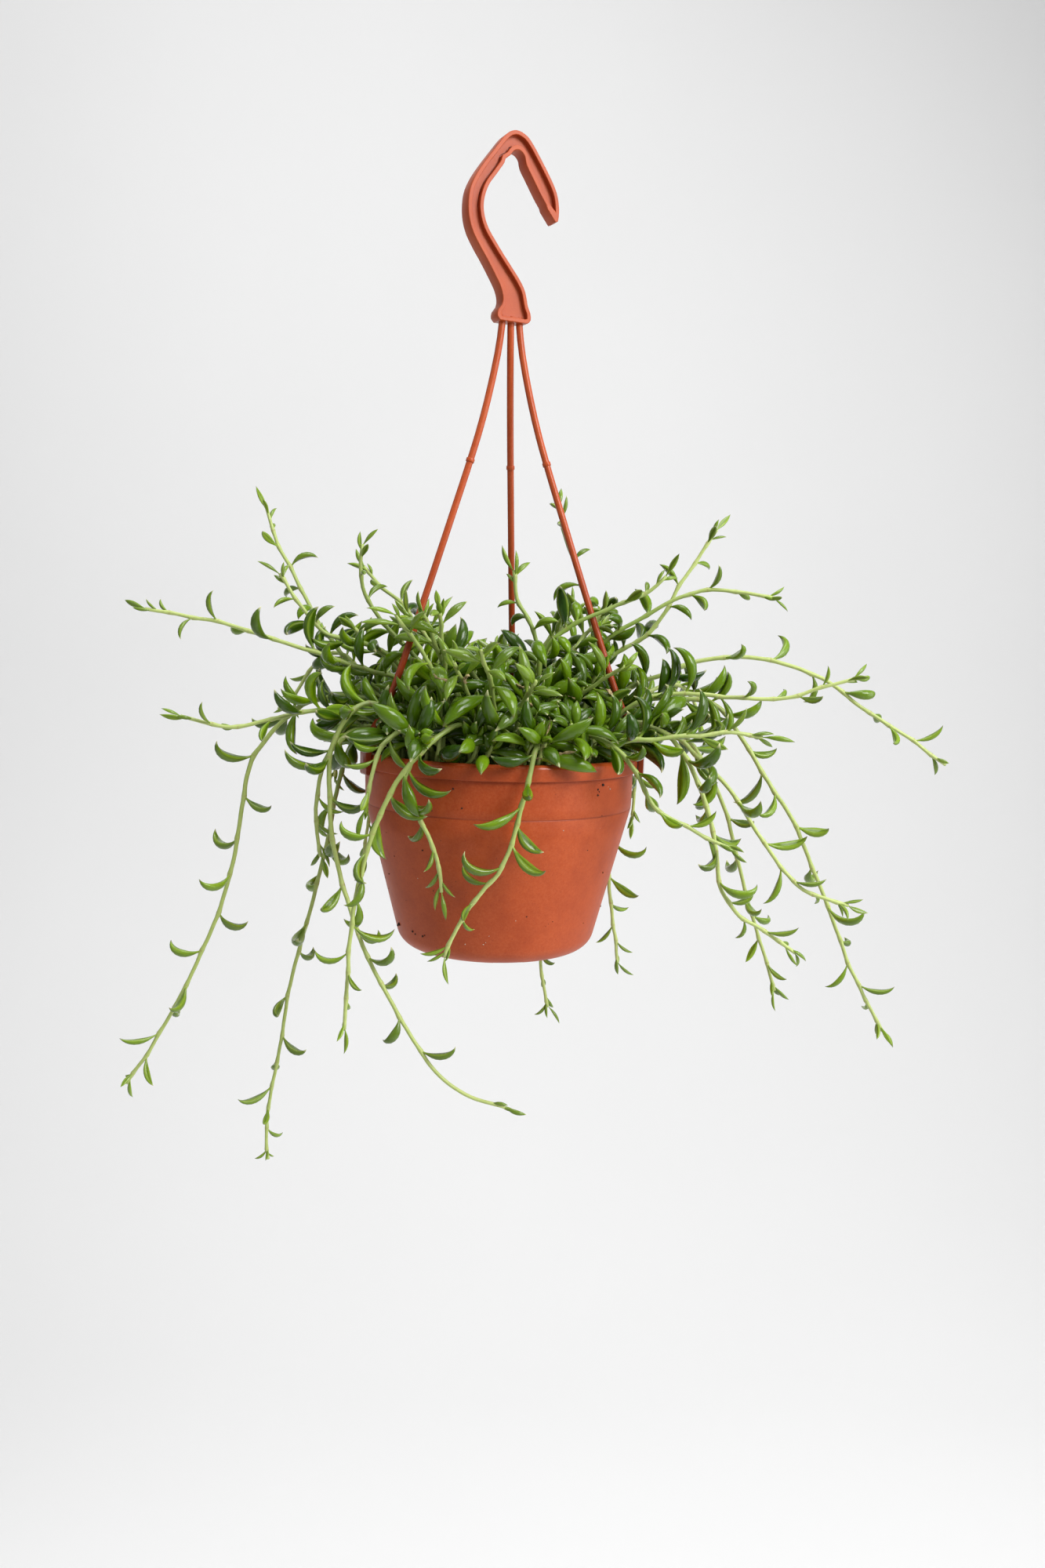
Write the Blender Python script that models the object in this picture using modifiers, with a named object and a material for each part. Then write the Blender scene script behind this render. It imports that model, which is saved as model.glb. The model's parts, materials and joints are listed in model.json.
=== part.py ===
"""Potted string of bananas: a trailing succulent in a round plastic pot on a moulded hanger.

Metres, +Z up. The origin is the crook of the hook, where a rail or a nail carries the whole thing.
Lengths below are in millimetres and are turned into metres where a mesh is made. Heights named
"above the rim" are measured from the top of the pot's rim.
"""
import math
import random

import bmesh
import bpy
from mathutils import Matrix, Vector

MM = 0.001
GAP = 0.3                     # clearance between two pieces that touch on the real thing
WELD = 0.002                  # distance within which the points of a curve's caps are one
SHARP_ANGLE = 40.0            # degrees between two faces above which their edge stays sharp

# Pot
RIM_Z = -288.0                # top of the rim, below the crook
RIM_RADIUS = 70.0
RIM_BAND = 7.7                # height of the proud band round the rim
RIM_INNER = 66.0
RIM_LIP = 0.6                 # the rim's inner edge leans back this far
RIM_CHAMFER = 1.0
BAND_STEP = 0.3               # slope of the band's lower edge
SHOULDER_RADIUS = 67.6        # wall just under the band
CREASE_DEPTH = 26.0           # the wall is near upright to here, then tapers
CREASE_RADIUS = 67.2
BASE_RADIUS = 48.1            # where the taper would meet the base
POT_HEIGHT = 99.4
CORNER_RADIUS = 10.7
WALL = 1.5
FOOT_HEIGHT = 1.6
FOOT_OUTER = 42.0
FOOT_INNER = 36.0
FOOT_SLOPE = 0.4
FOOT_PADS = 6
FOOT_SLOT_ANGLE = 20.0        # degrees of each gap between two pads of the foot ring
FOOT_TURN = -80.0             # azimuth of the first gap's middle
SLOT_OVERLAP = 4.0            # how far a cutter of the foot ring runs past it
DRAIN_RADIUS = 3.5
DRAIN_CIRCLE = 27.0
DRAINS = 6
DRAIN_SIDES = 8
DRAIN_CUT = 12.0              # length of a drain hole's cutter
POT_STEPS = 32
CORNER_STEPS = 3

# Soil
SOIL_DEPTH = 8.0              # soil surface below the rim
SOIL_GAP = 0.45               # clearance of the soil's edge from the rim's inner wall
HOLE_RADIUS = 2.4
HOLE_SIDES = 4
ROOT_DEPTH = 7.0

# Hanger
HOOK_YAW = 27.0               # degrees the flat hook is turned about Z
HOOK_THICKNESS = 8.0
HOOK_FLANGE = 1.9
HOOK_RECESS = 2.6
STRAND_RADIUS = 1.7
STRAND_SPACING = 4.4
STRAND_STEP = 34.0            # longest straight run of a modelled strand
STRAND_TOP = -76.0            # where the strands leave the foot of the hook
STRAND_SHAPE = (              # shares of a strand's way down and of its way out to the rim
    (0.05, 0.015), (0.13, 0.06), (0.27, 0.17), (0.48, 0.385), (0.72, 0.64), (0.88, 0.82),
)
STRAND_LANDING = 5.0          # height above the rim where a strand turns down into its clip
NUB_Z = -146.0
NUB_RADIUS = 2.1
NUB_LENGTH = 2.0
STRAND_AZIMUTHS = (207.0, 85.0, 352.0)
CLIP_THICKNESS = 2.6
CLIP_WIDTH = 9.0
CLIP_RISE = 3.0               # height of the clip above the rim
CLIP_TOE = 1.6                # reach of the toe under the band
CLIP_TOE_HEIGHT = 1.4
CLIP_CHAMFER = 0.8

# Hook outline in its own plane, from the tip over the top and down to the foot, then back up inside
HOOK_OUTER = (
    (20.9, -29.8), (22.3, -29.4), (22.8, -25.0), (22.3, -20.0), (20.8, -15.3), (17.7, -10.0),
    (12.9, -3.1), (8.1, 3.3), (4.5, 6.9), (0.0, 8.6), (-3.8, 7.9), (-7.2, 5.2), (-12.5, -1.6),
    (-17.5, -8.3), (-22.0, -15.2), (-24.8, -21.7), (-25.6, -28.1), (-25.1, -34.4), (-23.1, -40.4),
    (-19.4, -46.4), (-15.2, -52.2), (-11.3, -58.0), (-7.8, -63.7), (-6.3, -68.4), (-6.8, -71.9),
    (-8.7, -74.6), (-9.0, -77.4), (-7.4, -79.2),
)
HOOK_INNER = (
    (7.4, -79.2), (9.0, -77.4), (8.7, -74.4), (7.2, -71.0), (6.4, -67.5), (5.2, -63.8),
    (2.6, -59.6), (-1.7, -54.4), (-6.4, -48.9), (-11.0, -43.2), (-14.8, -38.0), (-16.9, -33.0),
    (-17.6, -28.0), (-16.8, -22.9), (-14.7, -17.8), (-10.8, -12.3), (-7.3, -7.2), (-6.7, -5.1),
    (-4.4, -3.4), (-2.5, -0.9), (0.0, 0.0), (2.2, -1.0), (3.6, -3.0), (4.4, -6.2),
    (8.6, -12.6), (12.6, -18.6), (15.6, -22.6), (16.2, -24.2),
)

# Stems
STEM_RADIUS = 1.15
STEM_STEP = 24.0              # longest straight run of a modelled stem
STEM_CLEARANCE = 1.0          # between a stem and any other
RIM_CLEARANCE = 0.8           # between a stem and the pot or the soil
BEND_TRIES = 60
TEST_STEP = 2.0               # distance between the places where clearance is tested
CELL = 12.0                   # size of a cell in which close neighbours are looked for
FAR = 99.0                    # clearance where nothing is near

# Leaves
LEAF_LENGTH = 24.0
LEAF_HALF_WIDTH = 3.5
LEAF_HALF_DEPTH = 2.9
LEAF_SIDES = 3
TIP_SHARE = 0.86              # girth of the outer half of a leaf against its inner half
LEAF_SPACING = 21.0
CROWN_LEAF_SPACING = 11.5
YOUNG_SPACING = 0.6           # spacing of the young leaves against the others
YOUNG_LEAVES = 3              # leaves at a tip that are still small
YOUNG_SIZE = 0.5              # size of the last leaf against a grown one
FIRST_LEAF = 17.0             # length above the soil up to which a stem is bare
TURN_PER_LEAF = 137.5         # degrees between two leaves round the stem
LEAF_SPREAD = 0.85            # how far a leaf heads away from its stem for each unit along it
YOUNG_SPREAD = 0.4
UPRIGHT_SPREAD = 1.2          # how much wider leaves stand on a stem that climbs
TIP_LIFT = 0.3                # how far a leaf's tip heads outward for each unit upward
LONG_DROOP = (0.0, 2.0)       # how far a leaf may bend down instead of up
CROWN_DROOP = (0.3, 2.3)
LEVEL_DROOP = 0.5             # share of it on a stem that doesn't climb
LEAF_TILT = 0.65              # how far a leaf's own bend strays to any side
CLIMB_OUT = 0.8               # how much further out the tips head on a stem that climbs
OUTER_SHRINK = 0.22           # leaves far out on a long stem are this much smaller
OUTER_LENGTH = 110.0
CROWN_LEAF_SIZE = 1.1
CROWN_TURN = (26.0, 88.0)     # degrees that a leaf bends from its root to its tip
INNER_TURN = (36.0, 96.0)
OUTER_TURN = (58.0, 112.0)
CROWN_REACH = 85.0            # length of a long stem that belongs to the crown
LENGTH_RANGE = (0.74, 1.14)
SPACING_RANGE = (0.8, 1.2)
SWINGS = (0, 32, -32, 64, -64, 100, -100, 140, -140, 180)
SHRINKS = (1.0, 0.84)
LEAF_BALLS = (                # share of a leaf's length, and the ball that fits it there
    (0.15, 0.45), (0.35, 0.95), (0.55, 1.0), (0.75, 0.75), (0.95, 0.25),
)
SEED = 41

# Each long stem: where it roots in the soil (x, y), then its way as (x, y, height above the rim)
LONG_STEMS = {
    "stem_left_reaching": (
        (-30, 2), (-46, 0, 30), (-66, -8, 39), (-95, -14, 48), (-135, -20, 60), (-172, -24, 66)),
    "stem_left_rising": (
        (-36, 16), (-55, 14, 20), (-75, 14, 38), (-93, 16, 59), (-105, 22, 79), (-118, 26, 102),
        (-124, 28, 119)),
    "stem_left_arching": (
        (-26, -8), (-40, -5, 26), (-55, -3, 45), (-71, -2, 53), (-89, -4, 57), (-102, -8, 73),
        (-110, -10, 85)),
    "stem_left_tall": (
        (-16, 4), (-30, 2, 30), (-51, 0, 53), (-67, -6, 73), (-70, -12, 88), (-69, -14, 100)),
    "stem_left_back_tall": (
        (-20, 20), (-34, 20, 43), (-51, 22, 70), (-64, 24, 81), (-73, 26, 91)),
    "stem_left_level": (
        (-40, -14), (-56, -17, 12), (-72, -20, 17), (-90, -24, 19), (-107, -30, 16),
        (-128, -36, 11), (-151, -40, 16)),
    "stem_left_trailing": (
        (-46, -4), (-60, -6, 20), (-76, -8, 26), (-93, -8, 23), (-104, -10, 17), (-117, -12, 2),
        (-125, -14, -15), (-131, -18, -58), (-143, -22, -97), (-164, -26, -141), (-182, -28, -170)),
    "stem_left_sweeping": (
        (-38, -28), (-52, -34, 20), (-64, -40, 24), (-73, -46, 15), (-78, -50, 2), (-78, -53, -22),
        (-75, -54, -45), (-68, -56, -69), (-60, -56, -92), (-46, -58, -117), (-28, -60, -145),
        (-11, -62, -158), (8, -64, -163)),
    "stem_left_longest": (
        (-48, 10), (-60, 9, 11), (-73, 10, 5), (-81, 10, -12), (-88, 12, -47), (-96, 12, -83),
        (-106, 10, -122), (-113, 8, -166), (-119, 8, -202), (-118, 8, -223)),
    "stem_front_left_trailing": (
        (-10, -44), (-14, -58, 16), (-24, -70, 14), (-38, -78, 1), (-47, -80, -13), (-56, -79, -37),
        (-63, -76, -65), (-66, -74, -102), (-67, -74, -124)),
    "stem_front_left_short": (
        (-26, -44), (-33, -56, 7), (-38, -63, 2), (-42, -66, -10), (-35, -70, -24),
        (-29, -69, -36), (-25, -67, -49), (-24, -66, -60)),
    "stem_front_centre": (
        (20, -44), (20, -60, 12), (18, -70, 8), (15, -75, -4), (12, -75, -18), (4, -74, -46),
        (-5, -72, -58), (-14, -70, -71), (-22, -68, -90)),
    "stem_front_left_stub": (
        (-30, -36), (-40, -50, 12), (-50, -60, 10), (-56, -67, -4), (-59, -69, -22)),
    "stem_left_low": (
        (-46, -20), (-60, -30, 12), (-74, -34, 8), (-84, -36, -8), (-87, -38, -30), (-84, -38, -50)),
    "stem_right_reaching": (
        (34, 4), (56, 8, 26), (83, 9, 41), (102, 10, 48), (128, 10, 50), (160, 8, 42), (182, 4, 27),
        (202, 2, 15), (226, 0, -1)),
    "stem_right_level": (
        (40, -8), (66, -12, 26), (96, -15, 32), (113, -18, 31), (136, -20, 31), (153, -22, 36),
        (171, -24, 42)),
    "stem_right_rising": (
        (26, 16), (48, 20, 40), (76, 22, 62), (92, 26, 88), (109, 30, 115)),
    "stem_right_upper": (
        (22, 2), (44, 2, 48), (74, 3, 71), (90, 4, 80), (102, 4, 83), (116, 2, 83), (135, 0, 80)),
    "stem_right_inner": (
        (6, -6), (20, -10, 48), (34, -10, 63), (53, -8, 73), (70, -6, 80), (80, -6, 89)),
    "stem_right_front_level": (
        (34, -34), (46, -44, 10), (60, -51, 11), (90, -50, 14), (109, -48, 16), (124, -46, 14)),
    "stem_right_trailing": (
        (46, -2), (66, -4, 24), (88, -4, 29), (107, -6, 26), (118, -8, 14), (136, -12, -13),
        (148, -12, -31), (164, -12, -65), (182, -12, -107), (199, -12, -137)),
    "stem_right_spreading": (
        (42, -20), (66, -26, 16), (84, -29, 12), (97, -32, 2), (112, -37, -13), (126, -42, -34),
        (137, -42, -48), (148, -42, -59), (170, -42, -66)),
    "stem_right_front_trailing": (
        (32, -24), (56, -36, 17), (75, -42, 16), (86, -47, 7), (94, -53, -8), (100, -54, -24),
        (104, -54, -42), (106, -54, -56), (114, -54, -68), (126, -52, -76), (144, -50, -88)),
    "stem_right_back_trailing": (
        (48, 12), (70, 14, 14), (88, 16, 14), (104, 18, -2), (116, 20, -24), (123, 20, -44),
        (134, 20, -82), (140, 20, -98), (149, 18, -126)),
    "stem_right_front_short": (
        (22, -34), (38, -48, 12), (52, -56, 10), (64, -60, -3), (73, -62, -18), (88, -62, -27),
        (109, -60, -37)),
    "stem_centre_upright": (
        (14, -14), (19, -20, 40), (14, -24, 63), (7, -26, 76), (5, -27, 89)),
    "stem_right_upright": (
        (46, 28), (50, 30, 20), (49, 30, 47), (42, 26, 78), (36, 24, 94), (30, 22, 110),
        (27, 20, 124)),
    "stem_back_right_hanging": (
        (36, 30), (50, 38, 11), (60, 43, 5), (66, 46, -8), (64, 45, -42), (60, 42, -62),
        (61, 41, -80), (64, 42, -98), (67, 44, -120)),
    "stem_back_hanging": (
        (14, 44), (16, 58, 12), (18, 70, 8), (21, 77, -8), (22, 76, -52), (24, 70, -92),
        (25, 64, -127), (30, 60, -151)),
}

# Stems of the far side, which follow one rule: name, azimuth, rise, reach and end height
BACK_STEMS = (
    ("stem_back_1", 20, 34, 118, 6),
    ("stem_back_2", 40, 26, 104, -44),
    ("stem_back_3", 54, 44, 100, -72),
    ("stem_back_4", 66, 22, 94, -28),
    ("stem_back_5", 93, 30, 96, -58),
    ("stem_back_6", 106, 46, 106, -100),
    ("stem_back_7", 118, 24, 92, -34),
    ("stem_back_8", 132, 42, 104, -74),
    ("stem_back_9", 148, 30, 106, -22),
    ("stem_back_10", 162, 46, 116, 20),
)

ARCH_SHAPE = ((0.62, 0.72), (0.78, 1.0), (0.9, 0.86))   # shares of the reach and of the rise
ARCH_ROOT = 42.0
ARCH_DROP = 45.0              # height between two points of the hanging part
ARCH_TURN = 2.0               # degrees that it drifts round the pot at each

# Short crown stems on a sunflower spiral: how many, and how high and far they grow
CROWN_STEMS = 15
CROWN_SPREAD = 50.0
CROWN_START = 20.0
CROWN_HEIGHT = (54.0, 86.0)
CROWN_FALL = 0.35             # loss of height for each millimetre away from the middle
CROWN_LEAN = (14.0, 34.0)
CROWN_SPLAY = 0.3             # extra lean for each millimetre away from the middle
CROWN_TWIST = 50.0
CROWN_CURL = 25.0
CROWN_KNEE = (0.3, 0.55)      # shares of the lean and of the height at a stem's middle point
GOLDEN_ANGLE = 137.508
ROOT_SPACING = 7.5


def clear_scene():
    for obj in list(bpy.data.objects):
        bpy.data.objects.remove(obj, do_unlink=True)


def collection(name):
    made = bpy.data.collections.new(name)
    bpy.context.scene.collection.children.link(made)
    return made


def material(name, colour, roughness):
    made = bpy.data.materials.new(name)
    made.use_nodes = True
    shader = made.node_tree.nodes["Principled BSDF"]
    shader.inputs["Base Color"].default_value = (*colour, 1.0)
    shader.inputs["Roughness"].default_value = roughness
    shader.inputs["Metallic"].default_value = 0.0
    return made


def add_object(name, mesh, home):
    obj = bpy.data.objects.new(name, mesh)
    home.objects.link(obj)
    return obj


def mesh_of(bm, name):
    mesh = bpy.data.meshes.new(name)
    bm.to_mesh(mesh)
    bm.free()
    return mesh


def finish(obj, surface):
    """One material, and smooth shading with sharp edges kept."""
    obj.data.materials.clear()
    obj.data.materials.append(surface)
    obj.data.shade_smooth()
    obj.data.set_sharp_from_angle(angle=math.radians(SHARP_ANGLE))


def as_helper(obj):
    obj.hide_render = True
    obj.display_type = "WIRE"
    return obj


def apply_boolean(obj, others, operation, solver="EXACT"):
    """Cuts or joins every object of a collection, keeps the result and removes the helpers."""
    modifier = obj.modifiers.new("Join", "BOOLEAN")
    modifier.operand_type = "COLLECTION"
    modifier.collection = others
    modifier.operation = operation
    modifier.solver = solver
    bpy.context.view_layer.update()
    graph = bpy.context.evaluated_depsgraph_get()
    mesh = bpy.data.meshes.new_from_object(obj.evaluated_get(graph))
    obj.modifiers.clear()
    obj.data = mesh
    for helper in list(others.objects):
        bpy.data.objects.remove(helper, do_unlink=True)
    bpy.data.collections.remove(others)


def curve_to_mesh(obj, home):
    """A curve's caps are loose, so they are welded before the tube is joined to anything."""
    bpy.context.view_layer.update()
    graph = bpy.context.evaluated_depsgraph_get()
    mesh = bpy.data.meshes.new_from_object(obj.evaluated_get(graph))
    bm = bmesh.new()
    bm.from_mesh(mesh)
    bmesh.ops.remove_doubles(bm, verts=bm.verts, dist=WELD * MM)
    bmesh.ops.recalc_face_normals(bm, faces=bm.faces)
    bm.to_mesh(mesh)
    bm.free()
    made = add_object(obj.name + "_mesh", mesh, home)
    made.matrix_world = obj.matrix_world
    bpy.data.objects.remove(obj, do_unlink=True)
    return made


def tube(name, points, radius, resolution, home):
    """A round bar through the points, which are in millimetres."""
    data = bpy.data.curves.new(name, "CURVE")
    data.dimensions = "3D"
    data.bevel_depth = radius * MM
    data.bevel_resolution = resolution
    data.use_fill_caps = True
    line = data.splines.new("POLY")
    line.points.add(len(points) - 1)
    for place, point in zip(line.points, points):
        place.co = (*(Vector(point) * MM), 1.0)
    return curve_to_mesh(add_object(name, data, home), home)


def smooth_path(points, step):
    """Points on a Catmull-Rom curve through the given ones, no further apart than the step."""
    points = [Vector(point) for point in points]
    ends = [2 * points[0] - points[1]] + points + [2 * points[-1] - points[-2]]
    path = [points[0]]
    for before, start, end, after in zip(ends, ends[1:], ends[2:], ends[3:]):
        pieces = max(1, round((end - start).length / step))
        for piece in range(1, pieces + 1):
            t = piece / pieces
            path.append(0.5 * (
                2 * start
                + (end - before) * t
                + (2 * before - 5 * start + 4 * end - after) * t * t
                + (3 * start - before - 3 * end + after) * t * t * t
            ))
    return path


def polar(radius, azimuth, height):
    angle = math.radians(azimuth)
    return Vector((radius * math.cos(angle), radius * math.sin(angle), height))


def pot_corner(radius, steps):
    """Points of the rounded lower corner, from the wall down to the base, about one shared centre."""
    crease = Vector((CREASE_RADIUS, RIM_Z - CREASE_DEPTH))
    corner = Vector((BASE_RADIUS, RIM_Z - POT_HEIGHT))
    taper = (corner - crease).normalized()
    bend = math.acos(-taper.dot(Vector((-1, 0))))
    inward = Vector((taper.y, -taper.x))
    centre = corner - taper * (CORNER_RADIUS / math.tan(bend / 2)) + inward * CORNER_RADIUS
    first = math.atan2(-inward.y, -inward.x)
    arc = []
    for step in range(steps + 1):
        angle = first - (math.pi - bend) * step / steps
        arc.append(centre + radius * Vector((math.cos(angle), math.sin(angle))))
    return arc


def pot_inside(clearance):
    """The inside from the middle of the floor up to the wall's crease, or a clearance in from it."""
    floor = RIM_Z - POT_HEIGHT + FOOT_HEIGHT + WALL + clearance
    arc = pot_corner(CORNER_RADIUS - WALL - FOOT_HEIGHT - clearance, 2)
    crease = Vector((CREASE_RADIUS - WALL - clearance, RIM_Z - CREASE_DEPTH))
    return [Vector((0, floor))] + list(reversed(arc)) + [crease]


def pot_outline():
    """Half section of the pot: up the inside from the centre of the floor, over the rim, down outside."""
    base = RIM_Z - POT_HEIGHT
    return pot_inside(0.0) + [
        Vector((RIM_INNER, RIM_Z - RIM_BAND)),
        Vector((RIM_INNER + RIM_LIP, RIM_Z)),
        Vector((RIM_RADIUS - RIM_CHAMFER, RIM_Z)),
        Vector((RIM_RADIUS, RIM_Z - RIM_CHAMFER)),
        Vector((RIM_RADIUS, RIM_Z - RIM_BAND)),
        Vector((SHOULDER_RADIUS, RIM_Z - RIM_BAND - BAND_STEP)),
        Vector((CREASE_RADIUS, RIM_Z - CREASE_DEPTH)),
    ] + pot_corner(CORNER_RADIUS, CORNER_STEPS) + [
        Vector((FOOT_INNER, base)),
        Vector((FOOT_INNER - FOOT_SLOPE, base + FOOT_HEIGHT)),
        Vector((0, base + FOOT_HEIGHT)),
    ]


def turned(name, outline, home, steps):
    """A profile in the XZ plane, turned once round Z."""
    bm = bmesh.new()
    places = [bm.verts.new((point.x * MM, 0, point.y * MM)) for point in outline]
    for one, other in zip(places, places[1:]):
        bm.edges.new((one, other))
    mesh = bpy.data.meshes.new(name)
    bm.to_mesh(mesh)
    bm.free()
    obj = add_object(name, mesh, home)
    screw = obj.modifiers.new("Turn", "SCREW")
    screw.axis = "Z"
    screw.angle = math.tau
    screw.steps = steps
    screw.render_steps = steps
    screw.use_merge_vertices = True
    screw.merge_threshold = 0.00001
    screw.use_smooth_shade = True
    return obj


def foot_slot(index, home):
    """A block that cuts one gap in the foot ring."""
    azimuth = FOOT_TURN + 360 / FOOT_PADS * index
    size = (
        FOOT_OUTER - FOOT_INNER + 2 * SLOT_OVERLAP,
        2 * FOOT_OUTER * math.sin(math.radians(FOOT_SLOT_ANGLE / 2)),
        FOOT_HEIGHT,
    )
    bm = bmesh.new()
    bmesh.ops.create_cube(bm, size=MM)
    bmesh.ops.scale(bm, verts=bm.verts, vec=size)
    slot = as_helper(add_object("foot_slot_%d" % index, mesh_of(bm, "foot_slot"), home))
    slot.location = polar(0.5 * (FOOT_OUTER + FOOT_INNER), azimuth, RIM_Z - POT_HEIGHT) * MM
    slot.rotation_euler.z = math.radians(azimuth)


def upright_cutter(name, radius, sides, length, place, home):
    """A round or square bar that cuts a hole straight down."""
    bm = bmesh.new()
    bmesh.ops.create_cone(
        bm, cap_ends=True, segments=sides, radius1=radius * MM, radius2=radius * MM,
        depth=length * MM,
    )
    cutter = as_helper(add_object(name, mesh_of(bm, name), home))
    cutter.location = place * MM


def make_pot(home, surface):
    pot = turned("pot", pot_outline(), home, POT_STEPS)
    cutters = collection("pot_cutters")
    for index in range(FOOT_PADS):
        foot_slot(index, cutters)
    for index in range(DRAINS):
        place = polar(DRAIN_CIRCLE, FOOT_TURN + 360 / DRAINS * index, RIM_Z - POT_HEIGHT)
        upright_cutter("drain_%d" % index, DRAIN_RADIUS, DRAIN_SIDES, DRAIN_CUT, place, cutters)
    apply_boolean(pot, cutters, "DIFFERENCE")
    finish(pot, surface)


def make_soil(home, surface, roots):
    """A plug that follows the pot's inside, with a plain hole for each root."""
    top = RIM_Z - SOIL_DEPTH
    outline = [Vector((0, top)), Vector((RIM_INNER - SOIL_GAP, top))]
    outline += list(reversed(pot_inside(GAP)))
    soil = turned("soil", outline, home, POT_STEPS)
    cutters = collection("root_holes")
    for index, (x, y) in enumerate(roots):
        name = "root_hole_%d" % index
        place = Vector((x, y, top))
        upright_cutter(name, HOLE_RADIUS, HOLE_SIDES, 2 * (ROOT_DEPTH + 1), place, cutters)
    apply_boolean(soil, cutters, "DIFFERENCE")
    finish(soil, surface)


def inset_outline(points, inset):
    """The closed outline moved inwards by the inset, corner by corner. It runs anticlockwise."""
    moved = []
    count = len(points)
    for index, point in enumerate(points):
        before = (point - points[index - 1]).normalized()
        after = (points[(index + 1) % count] - point).normalized()
        normal = Vector((-before.y - after.y, before.x + after.x)).normalized()
        reach = normal.dot(Vector((-before.y, before.x)))
        moved.append(point + normal * (inset / reach))
    return moved


def plate(name, points, thickness, azimuth, home):
    """A flat outline that stands upright along an azimuth, extruded to a plate."""
    data = bpy.data.curves.new(name, "CURVE")
    data.dimensions = "2D"
    data.fill_mode = "BOTH"
    data.extrude = 0.5 * thickness * MM
    line = data.splines.new("POLY")
    line.points.add(len(points) - 1)
    for place, point in zip(line.points, points):
        place.co = (point.x * MM, point.y * MM, 0, 1)
    line.use_cyclic_u = True
    obj = add_object(name, data, home)
    obj.rotation_euler = (math.radians(90), 0, math.radians(azimuth))
    return obj


def hook_plane(x, y, z):
    """A point of the hook's own plane, x along it and y behind it, in the object's frame."""
    yaw = math.radians(HOOK_YAW)
    return Vector((x * math.cos(yaw) - y * math.sin(yaw), x * math.sin(yaw) + y * math.cos(yaw), z))


def strand_path(index):
    """From inside the hook's foot, upright and then outward to the rim."""
    azimuth = STRAND_AZIMUTHS[index]
    start = hook_plane((index - 1) * STRAND_SPACING, 0, STRAND_TOP)
    outside = RIM_RADIUS + 2 * GAP + STRAND_RADIUS
    over = polar(outside - GAP, azimuth, RIM_Z + STRAND_LANDING)
    below = polar(outside, azimuth, RIM_Z + GAP)
    run = below - start
    path = [start]
    for down, out in STRAND_SHAPE:
        path.append(start + Vector((out * run.x, out * run.y, down * run.z)))
    return path + [over, below]


def make_hanger(home, surface):
    outline = [Vector(point) for point in HOOK_OUTER + HOOK_INNER]
    hanger = curve_to_mesh(plate("hook", outline, HOOK_THICKNESS, HOOK_YAW, home), home)
    hanger.name = "hanger"
    cutters = collection("hook_recesses")
    panel = inset_outline(outline, HOOK_FLANGE)
    for side in (-1, 1):
        cutter = plate("recess", panel, 2 * HOOK_RECESS, HOOK_YAW, home)
        cutter.location = hook_plane(0, side * 0.5 * HOOK_THICKNESS, 0) * MM
        made = as_helper(curve_to_mesh(cutter, home))
        home.objects.unlink(made)
        cutters.objects.link(made)
    apply_boolean(hanger, cutters, "DIFFERENCE")
    pieces = collection("strands")
    for index, azimuth in enumerate(STRAND_AZIMUTHS):
        path = smooth_path(strand_path(index), STRAND_STEP)
        tube("strand_%d" % index, path, STRAND_RADIUS, 1, pieces)
        low = next(i for i in range(len(path) - 1) if path[i + 1].z <= NUB_Z)
        share = (path[low].z - NUB_Z) / (path[low].z - path[low + 1].z)
        nub = path[low].lerp(path[low + 1], share)
        half = (path[low + 1] - path[low]).normalized() * 0.5 * NUB_LENGTH
        tube("nub_%d" % index, [nub - half, nub + half], NUB_RADIUS, 1, pieces)
        section = plate("clip_%d" % index, clip_section(), CLIP_WIDTH, azimuth, pieces)
        curve_to_mesh(section, pieces)
    apply_boolean(hanger, pieces, "UNION")
    finish(hanger, surface)


def clip_section():
    """Section of a tab outside the rim's band, with a toe that hooks under the band's lower edge."""
    inner = RIM_RADIUS + GAP
    outer = inner + CLIP_THICKNESS
    top = RIM_Z + CLIP_RISE
    under = RIM_Z - RIM_BAND - 2 * GAP
    toe = under - CLIP_TOE_HEIGHT
    return [Vector(point) for point in (
        (inner, top), (inner, under), (inner - CLIP_TOE, under), (inner - CLIP_TOE, toe),
        (outer - CLIP_CHAMFER, toe - CLIP_CHAMFER), (outer, toe),
        (outer, top - 2 * CLIP_CHAMFER), (outer - CLIP_CHAMFER, top),
    )]


class Space:
    """What is already in place, as balls along every stem, strand and leaf."""

    def __init__(self):
        self.cells = {}

    def add(self, points, radii, owner):
        for point, radius in zip(points, radii):
            key = tuple(math.floor(value / CELL) for value in point)
            self.cells.setdefault(key, []).append((point, radius, owner))

    def nearest(self, point, radius, skip=None):
        """The smallest clearance to another piece, and the centre of the ball that gives it."""
        best, found = FAR, None
        key = [math.floor(value / CELL) for value in point]
        for dx in (-1, 0, 1):
            for dy in (-1, 0, 1):
                for dz in (-1, 0, 1):
                    cell = self.cells.get((key[0] + dx, key[1] + dy, key[2] + dz), ())
                    for centre, other, owner in cell:
                        if owner == skip:
                            continue
                        gap = (centre - point).length - radius - other
                        if gap < best:
                            best, found = gap, centre
        return best, found


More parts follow.
